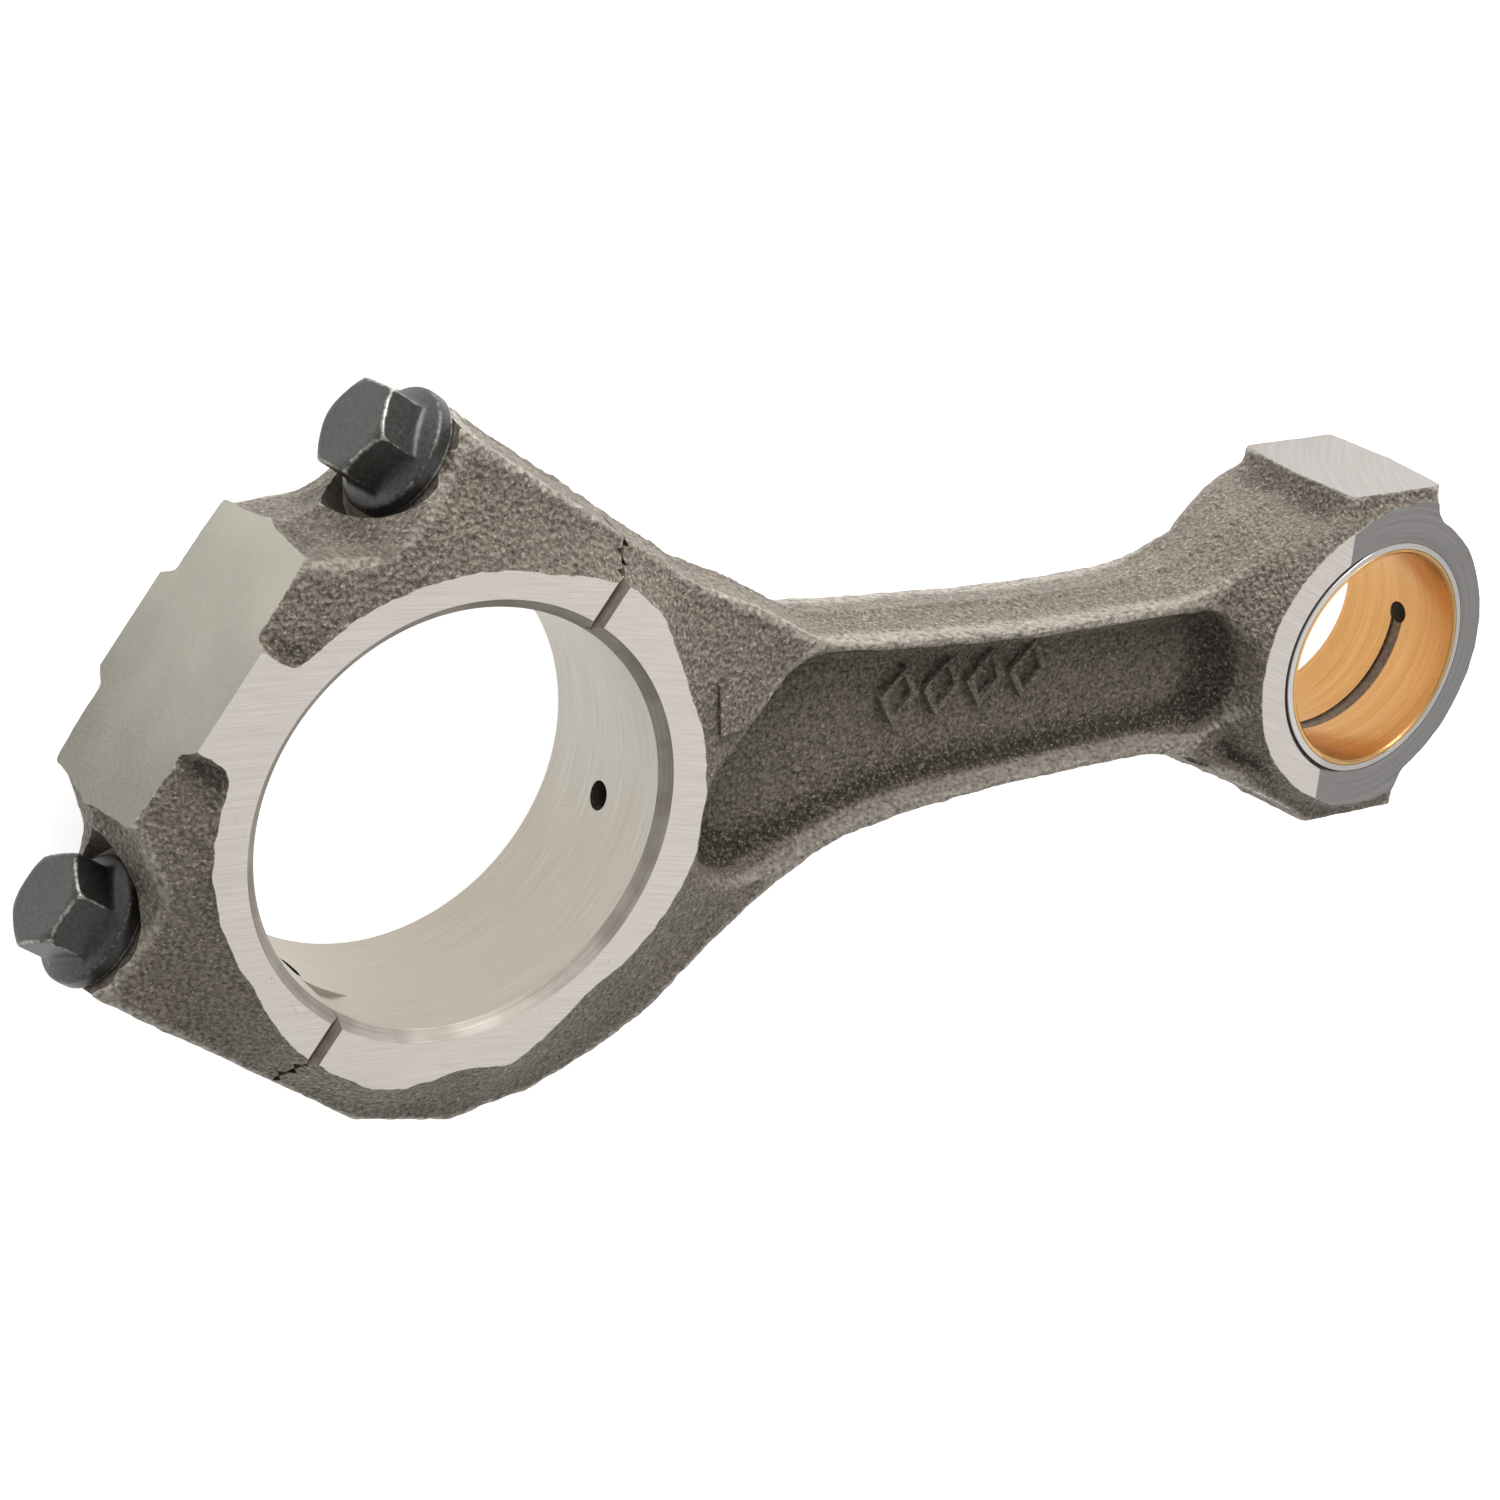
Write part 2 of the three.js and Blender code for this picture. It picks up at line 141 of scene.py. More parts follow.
# Cap bolts
SEAT_C = 33.3
SEAT_R = 12.2
CLEARANCE_HOLE_R = 5.85
THREAD_HOLE_R = 5.62
BOLT_HOLE_C = -19
HOLE_CHAMFER = 0.8
BOLT_R = 5.5
BOLT_TIP_C = -17
THREAD_PITCH = 1.5
THREAD_DEPTH = 0.92
THREAD_PLAY = 0.03
TIP_CHAMFER = 1.2
THREAD_END_C = 14
THREAD_FADE = 3
FLANGE_R = 10.1
FLANGE_RIM_C = 36
FLANGE_SLOPE = 0.42
HEX_FLATS = 14
HEX_TOP_C = 43.85
CROWN_R = 6.8
CROWN_SLOPE = 0.55
LOWER_HEX_TURN = math.radians(24.5)
HEAD_STEP = 0.22

# Bush
BACK_R = 20.96
LINING_R = 19.85
BUSH_PLAY = 0.03
BUSH_BORE_R = 19
BUSH_CHAMFER = 0.3
OIL_GROOVE_R = 19.4
OIL_GROOVE_HALF = 1.4


def joint_point(s, c):
    return (s * ALONG.x + c * OUT.x, s * ALONG.y + c * OUT.y)


def joint_coords(x, y):
    return x * ALONG.x + y * ALONG.y, x * OUT.x + y * OUT.y


# ---------------------------------------------------------------- fields


def spline(points, count):
    """A smooth curve through a few points."""
    p = np.array([points[0], *points, points[-1]], float)
    t = np.linspace(0, len(points) - 1, count)
    k = np.minimum(t.astype(int), len(points) - 2)
    u = (t - k)[:, None]
    a, b, c, d = p[k], p[k + 1], p[k + 2], p[k + 3]
    curve = b + 0.5 * u * (c - a + u * (2 * a - 5 * b + 4 * c - d + u * (3 * (b - c) + d - a)))
    return [tuple(q) for q in curve]


def outline_field(points, x, y):
    """Signed distance to a closed outline, negative inside."""
    nearest = np.full(x.shape, np.inf)
    inside = np.zeros(x.shape, bool)
    for (ax, ay), (bx, by) in zip(points, points[1:] + points[:1]):
        ex, ey = bx - ax, by - ay
        if ex == 0 and ey == 0:
            continue
        share = np.clip(((x - ax) * ex + (y - ay) * ey) / (ex * ex + ey * ey), 0, 1)
        nearest = np.minimum(nearest, (x - ax - share * ex) ** 2 + (y - ay - share * ey) ** 2)
        if ey:
            inside ^= ((ay > y) != (by > y)) & (x < ax + ex * (y - ay) / ey)
    distance = np.sqrt(nearest)
    return np.where(inside, -distance, distance)


def smooth_max(a, b, radius):
    blend = np.maximum(radius - np.abs(a - b), 0) / radius
    return np.maximum(a, b) + blend * blend * radius / 4


def smooth_min(a, b, radius):
    return -smooth_max(-a, -b, radius)


def lattice_noise(points, cell, seed):
    """Smooth noise from -1 to 1 at each point, with bumps about a cell across."""
    size = 40
    lattice = np.random.default_rng(seed).uniform(-1, 1, (size, size, size))
    scaled = points / cell
    base = np.floor(scaled).astype(int)
    t = scaled - base
    t = t * t * (3 - 2 * t)
    total = np.zeros(len(points))
    for corner in itertools.product((0, 1), repeat=3):
        weight = np.prod(np.where(corner, t, 1 - t), axis=1)
        total += weight * lattice[tuple(((base + corner) % size).T)]
    return total


def bend(field, step, passes):
    """How sharply the skin of a field bends: above zero on ridges, below zero in hollows."""
    soft = field.astype(np.float32)
    for _ in range(passes):
        for axis in range(3):
            soft = 0.5 * soft + 0.25 * (np.roll(soft, 1, axis) + np.roll(soft, -1, axis))
    total = -6 * soft
    for axis in range(3):
        total += np.roll(soft, 1, axis) + np.roll(soft, -1, axis)
    return total / step**2


def sampled(values, corner, step, points):
    """Values of a grid at points between its own."""
    place = (points - corner) / step
    base = np.clip(np.floor(place).astype(int), 0, np.array(values.shape) - 2)
    t = np.clip(place - base, 0, 1)
    total = np.zeros(len(points))
    for step_in in itertools.product((0, 1), repeat=3):
        weight = np.prod(np.where(step_in, t, 1 - t), axis=1)
        total += weight * values[tuple((base + step_in).T)]
    return total


# ---------------------------------------------------------------- meshes


def new_object(name, mesh, material=None):
    obj = bpy.data.objects.new(name, mesh)
    bpy.context.scene.collection.objects.link(obj)
    if material:
        mesh.materials.append(material)
    return obj


def mesh_object(name, points, faces, material=None):
    mesh = bpy.data.meshes.new(name)
    mesh.from_pydata([tuple(p) for p in points], [], [tuple(int(i) for i in f) for f in faces])
    mesh.validate()
    return new_object(name, mesh, material)


def field_object(name, field, corner, step, material):
    """The surface where a field sampled on a grid is zero."""
    grid = openvdb.FloatGrid(float(field.max()))
    grid.copyFromArray(np.ascontiguousarray(field, np.float32))
    points, quads = grid.convertToQuads()
    return mesh_object(name, points * step + corner, quads, material)


def loft(name, outlines, levels, material=None):
    """A closed skin over anticlockwise outlines with the same number of points, lowest first."""
    count = len(outlines[0])
    points = [(x, y, z) for outline, z in zip(outlines, levels) for x, y in outline]
    faces = [tuple(range(count - 1, -1, -1)), tuple(range(len(points) - count, len(points)))]
    for k, i in itertools.product(range(len(outlines) - 1), range(count)):
        a, b = k * count + i, k * count + (i + 1) % count
        faces.append((a, b, b + count, a + count))
    return mesh_object(name, points, faces, material)


def prism(name, outline, low, high, material=None):
    return loft(name, [outline, outline], [low, high], material)


def circle(radius, sides, turn=0.0):
    angles = [turn + 2 * math.pi * i / sides for i in range(sides)]
    return [(radius * math.cos(a), radius * math.sin(a)) for a in angles]


def arc(radius, start, end, count):
    angles = np.linspace(start, end, count)
    return [(radius * math.cos(a), radius * math.sin(a)) for a in angles]


def lathe(name, profile, sides, material=None):
    """A closed body turned about Z from [radius, z] points, listed upwards on the outside."""
    return loft(name, [circle(r, sides) for r, _ in profile], [z for _, z in profile], material)


def rectangle(x0, x1, y0, y1):
    return [(x0, y0), (x1, y0), (x1, y1), (x0, y1)]


def grown(outline, by):
    """An outline with each point moved away from the middle."""
    middle = np.mean(outline, axis=0)
    spokes = [np.array(p) - middle for p in outline]
    return [tuple(middle + v * (1 + by / np.linalg.norm(v))) for v in spokes]


def place(obj, matrix):
    obj.data.transform(matrix)
    return obj


def on_bolt_axis(s):
    """Takes +Z to the bolt's axis, so that z becomes c."""
    x, y = joint_point(s, 0)
    turn = Vector((0, 0, 1)).rotation_difference(OUT)
    return Matrix.Translation((x, y, 0)) @ turn.to_matrix().to_4x4()


def baked(obj):
    """Replaces the object's mesh by what its modifiers make of it."""
    graph = bpy.context.evaluated_depsgraph_get()
    mesh = bpy.data.meshes.new_from_object(obj.evaluated_get(graph))
    obj.modifiers.clear()
    obj.data = mesh
    return obj


def combine(obj, tool, operation="DIFFERENCE"):
    """Cuts, joins or intersects obj with tool, whose faces keep the tool's material."""
    boolean = obj.modifiers.new("cut", "BOOLEAN")
    boolean.solver = "MANIFOLD"
    boolean.operation = operation
    boolean.material_mode = "TRANSFER"
    boolean.object = tool
    baked(obj)
    bpy.data.objects.remove(tool)
    return obj


def vertex_points(mesh):
    points = np.empty(len(mesh.vertices) * 3)
    mesh.vertices.foreach_get("co", points)
    return points.reshape(-1, 3)


def store(mesh, name, values):
    mesh.attributes.new(name, "FLOAT", "POINT").data.foreach_set("value", values.astype(np.float32))


def read(items, name, kind=int):
    """One whole number or flag of every item of a mesh."""
    values = np.empty(len(items), kind)
    items.foreach_get(name, values)
    return values


def corner_slots(mesh):
    """Material slot at each corner of each polygon."""
    return np.repeat(read(mesh.polygons, "material_index"), read(mesh.polygons, "loop_total"))


def sharpen_seams(mesh):
    """Keeps the shading of two materials apart along the edges where they meet."""
    edges = read(mesh.loops, "edge_index")
    around = corner_slots(mesh)
    lowest = np.full(len(mesh.edges), len(mesh.materials))
    highest = np.zeros(len(mesh.edges), int)
    np.minimum.at(lowest, edges, around)
    np.maximum.at(highest, edges, around)
    sharp = read(mesh.edges, "use_edge_sharp", bool)
    mesh.edges.foreach_set("use_edge_sharp", sharp | (lowest != highest))


def mark_rims(mesh, skin):
    """Stores where the rough skin, the material in the given slot, meets a machined face."""
    corners = read(mesh.loops, "vertex_index")
    rough = corner_slots(mesh) == skin
    touches = np.zeros((2, len(mesh.vertices)), bool)
    touches[0][corners[rough]] = True
    touches[1][corners[~rough]] = True
    store(mesh, "rim", touches[0] & touches[1])


def finished(obj, name, body, node):
    """Scales a piece to metres, smooths its shading and hands it to the frame."""
    obj.name = name
    obj.data.transform(Matrix.Scale(MM, 4))
    obj.data.polygons.foreach_set("use_smooth", [True] * len(obj.data.polygons))
    obj.data.set_sharp_from_angle(angle=SHARP_ANGLE)
    sharpen_seams(obj.data)
    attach(obj, body)
    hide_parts(node)


# ---------------------------------------------------------------- materials


class Finish:
    """A procedural material over a Principled shader, with coordinates in millimetres."""

    def __init__(self, name, metallic):
        self.material = bpy.data.materials.new(name)
        self.material.use_nodes = True
        self.tree = self.material.node_tree
        self.shader = self.tree.nodes["Principled BSDF"]
        self.shader.inputs["Metallic"].default_value = metallic
        where = self.node("ShaderNodeTexCoord").outputs["Object"]
        self.where = self.vector("MULTIPLY", where, (1 / MM,) * 3)

    def node(self, kind, inputs=(), **settings):
        made = self.tree.nodes.new(kind)
        for key, value in settings.items():
            setattr(made, key, value)
        for key, value in dict(inputs).items():
            if isinstance(value, bpy.types.NodeSocket):
                self.tree.links.new(value, made.inputs[key])
            else:
                made.inputs[key].default_value = value
        return made

    def vector(self, operation, a, b):
        return self.node("ShaderNodeVectorMath", {0: a, 1: b}, operation=operation).outputs["Vector"]

    def math(self, operation, a, b=0.0):
        return self.node("ShaderNodeMath", {0: a, 1: b}, operation=operation).outputs["Value"]

    def split(self, vector):
        return self.node("ShaderNodeSeparateXYZ", {"Vector": vector}).outputs

    def join(self, x, y, z):
        return self.node("ShaderNodeCombineXYZ", {"X": x, "Y": y, "Z": z}).outputs["Vector"]

    def noise(self, scale, detail=2.0, vector=None, roughness=0.5):
        inputs = {"Vector": vector or self.where, "Scale": scale, "Detail": detail, "Roughness": roughness}
        return self.node("ShaderNodeTexNoise", inputs).outputs["Fac"]

    def cells(self, scale):
        inputs = {"Vector": self.where, "Scale": scale}
        return self.node("ShaderNodeTexVoronoi", inputs).outputs["Distance"]

    def between(self, value, low, high):
        """The value's place from low to high, as 0 to 1."""
        inputs = {"Value": value, "From Min": low, "From Max": high}
        return self.node("ShaderNodeMapRange", inputs).outputs["Result"]

    def scaled(self, value, low, high):
        """A value from 0 to 1 spread over low to high."""
        inputs = {"Value": value, "To Min": low, "To Max": high}
        return self.node("ShaderNodeMapRange", inputs).outputs["Result"]

    def blend(self, share, a, b):
        """A colour between a and b."""
        colors = {key: (*c, 1) if isinstance(c, tuple) else c for key, c in ((6, a), (7, b))}
        return self.node("ShaderNodeMix", {0: share, **colors}, data_type="RGBA").outputs[2]

    def stored(self, name):
        return self.node("ShaderNodeAttribute", attribute_name=name).outputs["Fac"]

    def radius(self, x, y):
        squares = self.math("ADD", self.math("MULTIPLY", x, x), self.math("MULTIPLY", y, y))
        return self.math("SQRT", squares)

    def round_axis(self, x, y=0.0):
        """Radius and angle about an axis along Z, then z."""
        px, py, pz = self.split(self.vector("SUBTRACT", self.where, (x, y, 0)))
        return self.radius(px, py), self.math("ARCTAN2", py, px), pz

    def lines(self, across, along, spacing, length):
        """Fine lines: noise that changes over a spacing across and over a length along."""
        fine = self.math("DIVIDE", across, spacing)
        slow = self.math("DIVIDE", along, length)
        return self.noise(1.0, 3.0, self.join(fine, slow, 0.0), 0.65)

    def bump(self, height, depth):
        inputs = {"Height": height, "Distance": depth * MM, "Strength": 1.0}
        return self.node("ShaderNodeBump", inputs).outputs["Normal"]

    def made(self, color, roughness, normal):
        for key, value in {"Base Color": color, "Roughness": roughness, "Normal": normal}.items():
            self.tree.links.new(value, self.shader.inputs[key])
        return self.material


def forged_finish():
    """Shot-blasted forging skin: granular, brown-grey painted shade in hollows, painted glints, ridges
    bright from wear and a painted highlight.
    """
    f = Finish("forged_skin", 0.35)
    grain = f.noise(1.5, 5.0, roughness=0.7)
    pits = f.between(f.cells(0.95), 0.0, 0.9)
    cloud = f.noise(0.055, 3.0)
    color = f.blend(f.between(grain, 0.37, 0.66), (0.070, 0.058, 0.045), (0.392, 0.335, 0.270))
    color = f.blend(f.scaled(f.between(cloud, 0.35, 0.7), 0.0, 0.3), color, (0.150, 0.135, 0.115))
    # Painted shade: the hollow mask darkens the skin to dark brown, more strongly towards the bottom.
    hollow = f.between(f.stored("hollow"), 0.25, 0.95)
    hollow = f.math("MULTIPLY", hollow, f.scaled(f.between(grain, 0.64, 0.50), 0.25, 1.0))
    _, y, _ = f.split(f.where)
    hollow = f.math("MULTIPLY", hollow, f.scaled(f.between(y, 4, -6), 0.65, 1.0))
    color = f.blend(f.math("MULTIPLY", hollow, 0.85), color, (0.032, 0.023, 0.015))
    # Ridges and rims are lightened partly by wear and partly as a painted highlight.
    worn = f.math("ADD", f.stored("ridge"), f.math("MULTIPLY", f.stored("rim"), 0.8))
    worn = f.between(f.math("MULTIPLY", worn, f.scaled(f.noise(1.1, 4.0), 0.0, 2.0)), 0.6, 1.4)
    color = f.blend(worn, color, (0.52, 0.475, 0.41))
    # Painted glints: small bright specks painted into the colour.
    painted_glints = f.between(f.noise(1.9, 2.0), 0.62, 0.70)
    color = f.blend(f.math("MULTIPLY", painted_glints, 0.7), color, (0.58, 0.52, 0.44))
    roughness = f.scaled(f.math("MAXIMUM", worn, painted_glints), 0.55, 0.28)
    height = f.math("ADD", f.math("MULTIPLY", pits, 0.9), grain)
    return f.made(color, roughness, f.bump(height, 1.0))


def ground_finish():
    """Side faces ground in long crossing arcs, with a few scratches and stains."""
    f = Finish("ground_face", 0.85)
    radius, angle, _ = f.round_axis(-60, -420)
    main = f.lines(radius, f.math("MULTIPLY", angle, 400), 0.26, 12)
    radius, angle, _ = f.round_axis(330, 160)
    cross = f.lines(radius, f.math("MULTIPLY", angle, 300), 0.3, 18)
    color = f.blend(f.between(main, 0.3, 0.7), (0.52, 0.475, 0.44), (0.67, 0.63, 0.60))
    scratch = f.between(cross, 0.71, 0.76)
    color = f.blend(f.math("MULTIPLY", scratch, 0.45), color, (0.38, 0.33, 0.30))
    stain = f.between(f.noise(0.22, 4.0), 0.62, 0.8)
    color = f.blend(f.math("MULTIPLY", stain, 0.2), color, (0.40, 0.35, 0.30))
    speck = f.between(f.noise(1.4, 3.0), 0.73, 0.78)
    color = f.blend(f.math("MULTIPLY", speck, 0.8), color, (0.12, 0.10, 0.08))
    return f.made(color, f.scaled(main, 0.34, 0.5), f.bump(f.math("SUBTRACT", main, scratch), 0.03))


def bored_finish():
    """Bores turned with fine rings that run round the axis."""
    f = Finish("bored_face", 0.9)
    _, angle, z = f.round_axis(0)
    rings = f.lines(z, f.math("MULTIPLY", angle, CRANK_BORE_R), 0.24, 16)
    bands = f.lines(z, f.math("MULTIPLY", angle, CRANK_BORE_R), 6, 30)
    color = f.blend(f.between(rings, 0.25, 0.75), (0.42, 0.395, 0.355), (0.66, 0.635, 0.585))
    color = f.blend(f.math("MULTIPLY", f.between(bands, 0.45, 0.75), 0.3), color, (0.42, 0.38, 0.32))
    _, y, _ = f.split(f.where)
    # Painted shade: the bore is darker and browner towards the bottom.
    brown = f.math("MULTIPLY", f.between(y, 0, -34), 0.45)
    color = f.blend(brown, color, (0.40, 0.345, 0.26))
    speck = f.between(f.noise(0.9, 3.0), 0.74, 0.78)
    color = f.blend(f.math("MULTIPLY", speck, 0.7), color, (0.16, 0.14, 0.12))
    return f.made(color, f.scaled(rings, 0.34, 0.5), f.bump(rings, 0.04))


def chamfer_finish():
    """Dull chamfers at the mouths of the big-end bore."""
    f = Finish("bore_chamfer", 0.6)
    radius, angle, _ = f.round_axis(0)
    rings = f.lines(radius, f.math("MULTIPLY", angle, CRANK_BORE_R), 0.3, 30)
    stain = f.between(f.noise(0.12, 3.0), 0.4, 0.65)
    color = f.blend(f.between(rings, 0.3, 0.7), (0.30, 0.27, 0.235), (0.48, 0.45, 0.41))
    color = f.blend(f.math("MULTIPLY", stain, 0.5), color, (0.20, 0.17, 0.14))
    return f.made(color, f.scaled(rings, 0.5, 0.65), f.bump(rings, 0.03))


def pad_finish():
    """Milled cap pad: satin, khaki grey, with a fine speckle, stray scratches and painted light that makes
    its top lighter.
    """
    f = Finish("milled_pad", 0.75)
    grain = f.noise(2.2, 4.0, roughness=0.7)
    cloud = f.noise(0.07, 2.0)
    _, y, z = f.split(f.where)
    color = f.blend(f.between(grain, 0.25, 0.75), (0.140, 0.132, 0.108), (0.250, 0.240, 0.202))
    # Painted light: the pad is lighter towards its top.
    upper = f.math("MULTIPLY", f.between(f.math("ADD", y, f.math("MULTIPLY", cloud, 30)), 25, 65), 0.55)
    color = f.blend(upper, color, (0.50, 0.48, 0.42))
    scratch = f.between(f.lines(f.math("ADD", z, f.math("MULTIPLY", y, 0.35)), y, 0.45, 16), 0.71, 0.75)
    color = f.blend(f.math("MULTIPLY", scratch, 0.5), color, (0.62, 0.60, 0.54))
    return f.made(color, f.scaled(grain, 0.42, 0.58), f.bump(grain, 0.03))


def milled_finish():
    """Balance pads of the small end, milled in long arcs."""
    f = Finish("milled_balance_pad", 0.8)
    x, _, z = f.split(f.vector("SUBTRACT", f.where, (PIN_X + 60, 0, 45)))
    arcs = f.lines(f.radius(x, z), f.math("MULTIPLY", f.math("ARCTAN2", z, x), 70), 0.5, 22)
    color = f.blend(f.between(arcs, 0.3, 0.7), (0.26, 0.24, 0.225), (0.34, 0.32, 0.30))
    stain = f.between(f.noise(0.25, 3.0), 0.58, 0.8)
    color = f.blend(f.math("MULTIPLY", stain, 0.4), color, (0.30, 0.26, 0.22))
    return f.made(color, f.scaled(arcs, 0.38, 0.52), f.bump(arcs, 0.03))


def tapered_finish():
    """Tapered side of the small end, turned in rings round the pin."""
    f = Finish("turned_taper", 0.85)
    radius, angle, _ = f.round_axis(PIN_X)
    rings = f.lines(radius, f.math("MULTIPLY", angle, PIN_BORE_R), 0.34, 40)
    color = f.blend(f.between(rings, 0.3, 0.7), (0.215, 0.208, 0.205), (0.33, 0.32, 0.315))
    stain = f.between(f.noise(0.18, 3.0), 0.55, 0.8)
    color = f.blend(f.math("MULTIPLY", stain, 0.3), color, (0.22, 0.19, 0.17))
    return f.made(color, f.scaled(rings, 0.36, 0.5), f.bump(rings, 0.03))


def joint_finish():
    """Chamfers and teeth of the split, stained brown by oil."""
    f = Finish("split_face", 0.3)
    x, y, z = f.split(f.where)
    marks = f.lines(z, f.math("ADD", x, y), 0.3, 5)
    color = f.blend(f.between(marks, 0.3, 0.7), (0.13, 0.105, 0.082), (0.25, 0.215, 0.18))
    color = f.blend(f.between(f.noise(0.5, 3.0), 0.45, 0.75), color, (0.15, 0.10, 0.065))
    return f.made(color, f.scaled(marks, 0.4, 0.6), f.bump(marks, 0.02))


def seat_finish():
    """Spot faces and drilled holes, with patches of rust."""
    f = Finish("spot_face", 0.6)
    grain = f.noise(1.6, 4.0)
    color = f.blend(f.between(grain, 0.3, 0.7), (0.060, 0.052, 0.045), (0.19, 0.17, 0.15))
    rust = f.between(f.noise(0.6, 4.0), 0.52, 0.66)
    color = f.blend(f.math("MULTIPLY", rust, 0.7), color, (0.13, 0.055, 0.025))
    return f.made(color, f.scaled(grain, 0.4, 0.62), f.bump(grain, 0.05))


def blackened_finish():
    """Black oxide on the bolts, rubbed through to steel at the corners."""
    f = Finish("black_oxide", 0.55)
    grain = f.noise(1.3, 4.0, roughness=0.65)
    color = f.blend(f.between(grain, 0.3, 0.7), (0.026, 0.027, 0.026), (0.060, 0.060, 0.056))
    scuffed = f.math("MULTIPLY", f.stored("ridge"), f.scaled(f.noise(1.2, 5.0, roughness=0.7), 0.0, 1.6))
    worn = f.between(scuffed, 0.48, 0.9)
    color = f.blend(f.math("MULTIPLY", worn, 0.85), color, (0.46, 0.44, 0.41))
    scuff = f.between(f.noise(0.5, 5.0, roughness=0.75), 0.66, 0.75)
    color = f.blend(f.math("MULTIPLY", scuff, 0.4), color, (0.26, 0.25, 0.23))
    rust = f.between(f.noise(0.8, 4.0), 0.68, 0.78)
    color = f.blend(f.math("MULTIPLY", rust, 0.35), color, (0.12, 0.06, 0.03))
    return f.made(color, f.scaled(grain, 0.30, 0.46), f.bump(grain, 0.05))


def bush_steel_finish():
    f = Finish("bush_steel_face", 0.9)
    radius, angle, z = f.round_axis(PIN_X)
    rings = f.lines(f.math("ADD", radius, z), f.math("MULTIPLY", angle, PIN_BORE_R), 0.3, 25)
    color = f.blend(f.between(rings, 0.3, 0.7), (0.44, 0.425, 0.41), (0.66, 0.65, 0.63))
    return f.made(color, f.scaled(rings, 0.28, 0.42), f.bump(rings, 0.02))


def bronze_finish():
    """Bronze lining with fine turned rings and soft lighter bands that are painted reflections."""
    f = Finish("bronze_lining", 1.0)
    _, angle, z = f.round_axis(PIN_X)
    rings = f.lines(z, f.math("MULTIPLY", angle, BUSH_BORE_R), 0.35, 30)
    bands = f.lines(z, f.math("MULTIPLY", angle, BUSH_BORE_R), 2.8, 45)
    color = f.blend(f.between(rings, 0.3, 0.7), (0.54, 0.285, 0.09), (0.72, 0.43, 0.175))
    # Painted reflections: soft lighter bands round the bore.
    color = f.blend(f.math("MULTIPLY", f.between(bands, 0.4, 0.75), 0.3), color, (0.86, 0.60, 0.33))
    speck = f.between(f.noise(1.1, 3.0), 0.70, 0.76)
    color = f.blend(f.math("MULTIPLY", speck, 0.5), color, (0.36, 0.20, 0.08))
    return f.made(color, f.scaled(rings, 0.22, 0.34), f.bump(rings, 0.02))


def groove_finish():
    """Floor of the oil groove, which keeps a dull grey-brown film."""
    f = Finish("oil_groove", 0.5)
    grain = f.noise(1.2, 4.0)
    color = f.blend(f.between(grain, 0.3, 0.7), (0.15, 0.12, 0.09), (0.29, 0.25, 0.20))
    return f.made(color, f.scaled(grain, 0.45, 0.65), f.bump(grain, 0.04))


def floor_finish():
    f = Finish("studio_floor", 0.0)
    cloud = f.noise(0.01, 1.0)
    f.shader.inputs["Emission Color"].default_value = (1, 1, 1, 1)
    f.shader.inputs["Emission Strength"].default_value = FLOOR_GLOW
    return f.made(f.blend(cloud, (0.86, 0.86, 0.86), (0.88, 0.88, 0.88)), f.scaled(cloud, 0.8, 0.9),
                  f.bump(cloud, 0.01))


# ---------------------------------------------------------------- forging


def shoulder(pad_edge, sign):
    """The cap's outline from its end pad down to a bolt boss."""
    fall = [(0, 0), (0.5, -2), (3.2, -4.6), (7.6, -7.2), (12.2, -9.0), (19, -10.4)]
    return [joint_point(pad_edge + sign * s, PAD_C + c) for s, c in spline(fall, 24)]


def big_end_outline():
    upper = [(52.6, 25.6), (57.5, 22.9), (62.9, 19.4), (68, 17.2)]
    under = [(66, -21), (57.2, -26.2), (47.1, -34.4), (38.6, -41.8), (28.9, -47.4), (17, -52.1),
             (3.3, -54.05)]
    low, high = PAD_S
    stock = PAD_C + 2
    return [
        *upper[::-1],
        joint_point(FLANK_S, FLANK_END_C),
        joint_point(FLANK_S, BOSS_C),
        *shoulder(high, 1)[::-1],
        joint_point(high, stock),
        joint_point(low, stock),
        *shoulder(low, -1),
        joint_point(-FLANK_S, BOSS_C),
        joint_point(-FLANK_S, FLANK_END_C),
        *under[::-1],
    ]


def big_end_rim():
    """The outline that the side faces slope down to, which passes over the cap's shoulders."""
    outline = big_end_outline()
    split = outline.index(joint_point(FLANK_S, BOSS_C))
    rest = outline.index(joint_point(-FLANK_S, BOSS_C))
    over = PAD_C + 14
    return [*outline[:split], joint_point(FLANK_S, over), joint_point(-FLANK_S, over),
            *outline[rest + 1:]]


def shank_outline():
    """The shank, whose underside runs into the big end further out than its top does."""
    upper = [(40, 31), (52, 25.4), (62, 19.6), (68, 17.3), (80, 16.0)]
    under = [(40, 36), (50, 30), (57, 26.2), (63.8, 22), (71, 19), (81, 16.8)]
    flare = [(95, 15.0), (110, 14.1), (124, 14.0), (137, 14.4), (148, 17.4), (158, 22.8), (166, 25.6),
             (PIN_X, 26.4)]
    top, bottom = (spline([*start, *flare], 50) for start in (upper, under))
    return [*[(x, -y) for x, y in bottom], *top[::-1]]


def pocket_outline():
    """Mouth of the hollow in the shank. It opens against the big end's side face."""
    under = spline([(44.6, -15.5), (47, -18.2), (51, -20), (55.5, -20.2), (61.9, -19.1), (68.5, -16.8),
                    (75, -14.8), (89, -12.6), (118, -11.5), (139, -11.4)], 44)
    end = spline([(139, -11.4), (145.6, -11), (149.2, -7.2), (150.2, 0), (149.2, 7.2), (145.6, 11),
                  (139, 11.4)], 28)
    upper = spline([(139, 11.4), (120, 11.5), (95, 12.5), (79, 13.8), (70, 14.9), (65, 15), (62, 14.2),
                    (59.5, 12.6)], 28)
    left = [(56.5, 10.1), (50.8, 4.8), (47.3, 0.8), (45.6, -2), (44.6, -6), (44.2, -12)]
    return [*under, *end[1:], *upper[1:], *left]


